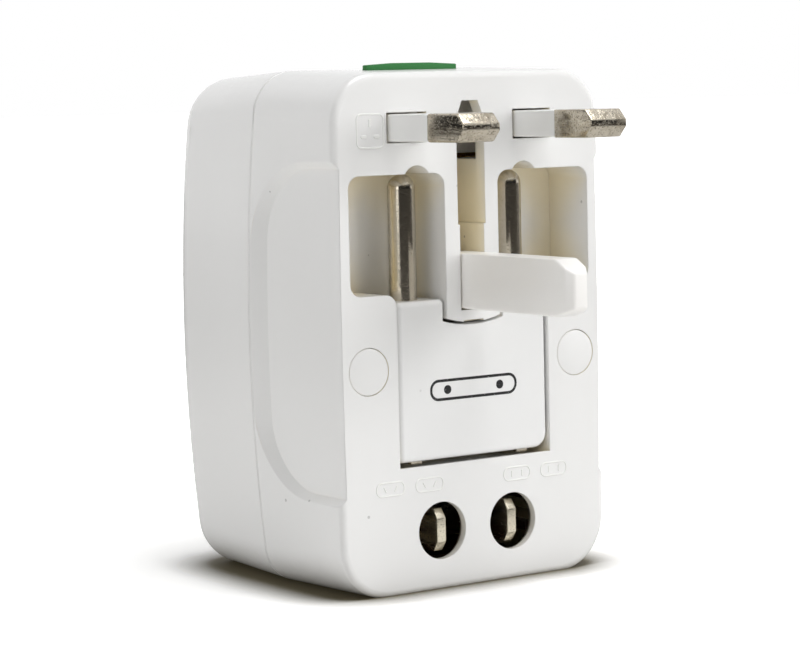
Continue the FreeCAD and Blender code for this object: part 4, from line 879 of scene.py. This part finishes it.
class ADAPTER_OT_signs(bpy.types.Operator):
    """Make the plain raised signs on the face and the printed one on the slab"""

    bl_idname = "adapter.signs"
    bl_label = "Signs"

    def execute(self, context):
        sizes = sizes_of(context)
        shell = bpy.data.materials["shell_plastic"]
        self.make_flat_pin_sign(sizes, shell)
        for name, middle, turn in BLADE_SIGNS:
            self.make_blade_sign(name, middle, turn, sizes, shell)
        self.make_round_pin_sign(sizes, self.make_ink(finish_of(context)))
        return {"FINISHED"}

    def make_flat_pin_sign(self, sizes, material):
        """A raised frame with the three flat pins in it."""
        work = bmesh.new()
        x, z = FLAT_PIN_SIGN
        corner = sizes.mark_tall * FLAT_PIN_SIGN_CORNER
        edge = Shape(FLAT_PIN_SIGN, *FLAT_PIN_SIGN_SIZE, corner, 0.0)
        raised_outline(work, edge, sizes.mark_line, FACE_PLANE, sizes.mark_rise)
        for right, up, wide, tall in FLAT_PIN_MARKS:
            mark = Shape((x + right, z + up), wide, tall, wide * FLAT_PIN_MARK_CORNER, 0.0)
            raised_patch(work, mark, FACE_PLANE, sizes.mark_rise)
        sign_piece("flat_pin_sign", work, material, "housing")

    def make_blade_sign(self, name, middle, turn, sizes, material):
        """Two raised rings, each with a pair of blades at the given turn."""
        work = bmesh.new()
        tall = sizes.mark_tall
        for step in (-1, 1):
            x = middle + step * tall * RING_STEP
            ring = Shape((x, BLADE_SIGN_Z), tall * RING_WIDTH, tall, tall * RING_CORNER, 0.0)
            raised_outline(work, ring, sizes.mark_line, FACE_PLANE, sizes.mark_rise)
            for side in (-1, 1):
                place = (x + side * tall * MARK_STEP, BLADE_SIGN_Z)
                shares = (tall * MARK_WIDTH, tall * MARK_TALL, tall * MARK_CORNER)
                blade = Shape(place, *shares, -side * turn)
                raised_patch(work, blade, FACE_PLANE, sizes.mark_rise)
        sign_piece(name, work, material, "housing")

    def make_round_pin_sign(self, sizes, ink):
        """A printed ring with two dots on the slab."""
        work = bmesh.new()
        x, z = ROUND_PIN_SIGN
        wide = sizes.ink_wide
        tall = sizes.ink_tall
        ring = Shape(ROUND_PIN_SIGN, wide, tall, tall * PRINT_CORNER, 0.0)
        raised_outline(work, ring, sizes.ink_line, SLAB_PLANE, sizes.ink_rise)
        for side in (-1, 1):
            place = (x + side * wide * DOT_STEP, z)
            dot = Shape(place, tall * DOT_SIZE, tall * DOT_SIZE, tall * DOT_CORNER, 0.0)
            raised_patch(work, dot, SLAB_PLANE, sizes.ink_rise)
        sign_piece("round_pin_sign", work, ink, "europe_plug")

    def make_ink(self, finish):
        """Printed ink with slightly worn spots."""
        material, nodes, shader = fresh_material("sign_ink")
        spots = nodes.noise(nodes.place(), INK_COUNT, detail=3.0, roughness=0.6)
        worn = nodes.remap(spots, INK_SPAN, high=INK_WEAR)
        colour = nodes.mix(worn, opaque(finish.print_ink), opaque(finish.slab))
        nodes.fill(shader, Base_Color=colour, Roughness=0.5)
        return material


def area_light(name, place, size, power, in_gloss):
    """A square soft light that faces the adapter's middle, and shows in gloss or not."""
    light = bpy.data.lights.new(name, "AREA")
    light.shape = "SQUARE"
    light.size = size
    light.energy = power
    lamp = bpy.data.objects.new(name, light)
    lamp.visible_glossy = in_gloss
    bpy.context.scene.collection.objects.link(lamp)
    lamp.location = place
    lamp.rotation_euler = (AIM - Vector(place)).to_track_quat("-Z", "Y").to_euler()


def floor_material(colour, shade, far):
    """A pale floor whose far part the camera sees as white and gloss sees dark as a painted reflection,
    and whose near part keeps the lamps' shadow with a painted contact shadow from occlusion.
    """
    material, nodes, shader = fresh_material("pale_floor")
    # Painted contact shadow: occlusion near the adapter mixes in the shade colour and takes away the
    # lift
    occlusion = nodes.add("ShaderNodeAmbientOcclusion", samples=16, Distance=CONTACT_REACH)
    near = nodes.remap(occlusion.outputs["AO"], CONTACT_SPAN)
    away = nodes.add("ShaderNodeVectorMath", operation="LENGTH")
    nodes.feed(away.inputs[0], nodes.place())
    distance = away.outputs["Value"]
    path = nodes.add("ShaderNodeLightPath").outputs
    # Painted reflection: gloss rays see the far floor dark
    mirrored = nodes.product(path["Is Glossy Ray"], nodes.remap(distance, FAR_SPAN))
    shaded = nodes.mix(near, opaque(colour), opaque(shade))
    seen = nodes.math("MAXIMUM", path["Is Camera Ray"], path["Is Transmission Ray"])
    lift = nodes.remap(distance, LIFT_SPAN, low=LIFT_LEAST)
    nodes.fill(
        shader,
        Base_Color=nodes.mix(mirrored, shaded, opaque(far)), Roughness=0.6, Specular_IOR_Level=0.2,
        Emission_Color=WHITE, Emission_Strength=nodes.product(seen, lift, nodes.rest(near)),
    )
    return material


class ADAPTER_OT_stage(bpy.types.Operator):
    """Set the floor, the lights, the sky and the camera"""

    bl_idname = "adapter.stage"
    bl_label = "Stage"

    def execute(self, context):
        stage = stage_of(context)
        self.make_floor(stage)
        for name, place, size, in_gloss in LIGHTS:
            area_light(name.capitalize(), place, size, getattr(stage, name), in_gloss)
        self.make_sky(context, stage)
        self.make_camera(context, stage)
        context.scene.view_settings.view_transform = "Standard"
        return {"FINISHED"}

    def make_floor(self, stage):
        """A square floor under the adapter."""
        mesh = bpy.data.meshes.new("floor")
        around = ((-1, -1), (1, -1), (1, 1), (-1, 1))
        corners = [(x * FLOOR_HALF, y * FLOOR_HALF, 0) for x, y in around]
        mesh.from_pydata(corners, [], [(0, 1, 2, 3)])
        mesh.materials.append(floor_material(stage.floor, stage.shade, stage.far))
        mesh_object("floor", mesh)

    def make_sky(self, context, stage):
        """White to the camera, even light for plastic, and in gloss dark where the camera stands."""
        world = bpy.data.worlds.new("Studio")
        context.scene.world = world
        world.use_nodes = True
        nodes = Nodes(world.node_tree)
        path = nodes.add("ShaderNodeLightPath").outputs
        seen = path["Is Camera Ray"]
        mirrored = nodes.math("MAXIMUM", path["Is Glossy Ray"], path["Is Transmission Ray"])
        way = nodes.add("ShaderNodeTexCoord").outputs["Generated"]
        height = nodes.add("ShaderNodeSeparateXYZ", Vector=way).outputs["Z"]
        high = nodes.remap(height, HIGH_SPAN, stage.dim, stage.gleam)
        window = nodes.remap(nodes.agreement(way, WINDOW_WAY), WINDOW_SPAN, high=stage.gleam)
        screen = nodes.remap(nodes.agreement(way, SCREEN_WAY), SCREEN_SPAN, high=stage.gleam)
        bright = nodes.math("MAXIMUM", nodes.math("MAXIMUM", high, window), screen)
        hidden = nodes.product(stage.sky, nodes.rest(mirrored), nodes.rest(seen))
        glossy = nodes.product(bright, mirrored)
        strength = nodes.math("ADD", nodes.math("ADD", hidden, glossy), seen)
        nodes.fill(world.node_tree.nodes["Background"], Color=WHITE, Strength=strength)

    def make_camera(self, context, stage):
        """The camera at the photograph's viewing angle."""
        camera = bpy.data.cameras.new("Camera")
        camera.sensor_width = SENSOR_WIDTH
        camera.sensor_fit = "HORIZONTAL"
        camera.lens = stage.lens
        camera.clip_start = NEAREST_SEEN
        holder = bpy.data.objects.new("Camera", camera)
        context.scene.collection.objects.link(holder)
        turn = Matrix.Rotation(-stage.yaw, 4, "Z")
        dip = Matrix.Rotation(math.pi / 2 - stage.pitch, 4, "X")
        lean = Matrix.Rotation(stage.roll, 4, "Z")
        holder.matrix_world = Matrix.Translation(stage.place) @ turn @ dip @ lean
        context.scene.camera = holder


class ADAPTER_PT_looks(bpy.types.Panel):
    """Steps that dress the adapter"""

    bl_label = "Travel adapter"
    bl_space_type = "VIEW_3D"
    bl_region_type = "UI"
    bl_category = "Adapter"

    def draw(self, context):
        """Lists the steps, then every setting."""
        for step in STEPS:
            self.layout.operator(step.bl_idname)
        for group in (finish_of(context), sizes_of(context), stage_of(context)):
            box = self.layout.box()
            for name in group.__annotations__:
                box.prop(group, name)


STEPS = (
    ADAPTER_OT_shells,
    ADAPTER_OT_metal_inside,
    ADAPTER_OT_flat_plug,
    ADAPTER_OT_folding_pieces,
    ADAPTER_OT_blades,
    ADAPTER_OT_signs,
    ADAPTER_OT_stage,
)
CLASSES = (AdapterFinish, AdapterSizes, AdapterStage, *STEPS, ADAPTER_PT_looks)


def register():
    """Adds the add-on's classes and the scene's settings."""
    for entry in CLASSES:
        bpy.utils.register_class(entry)
    bpy.types.Scene.adapter_finish = PointerProperty(type=AdapterFinish)
    bpy.types.Scene.adapter_sizes = PointerProperty(type=AdapterSizes)
    bpy.types.Scene.adapter_stage = PointerProperty(type=AdapterStage)


def unregister():
    """Takes out what register added."""
    del bpy.types.Scene.adapter_finish
    del bpy.types.Scene.adapter_sizes
    del bpy.types.Scene.adapter_stage
    for entry in reversed(CLASSES):
        bpy.utils.unregister_class(entry)


def main():
    """Runs every step."""
    register()
    for step in STEPS:
        group, action = step.bl_idname.split(".")
        getattr(getattr(bpy.ops, group), action)()


if __name__ == "__main__":
    main()
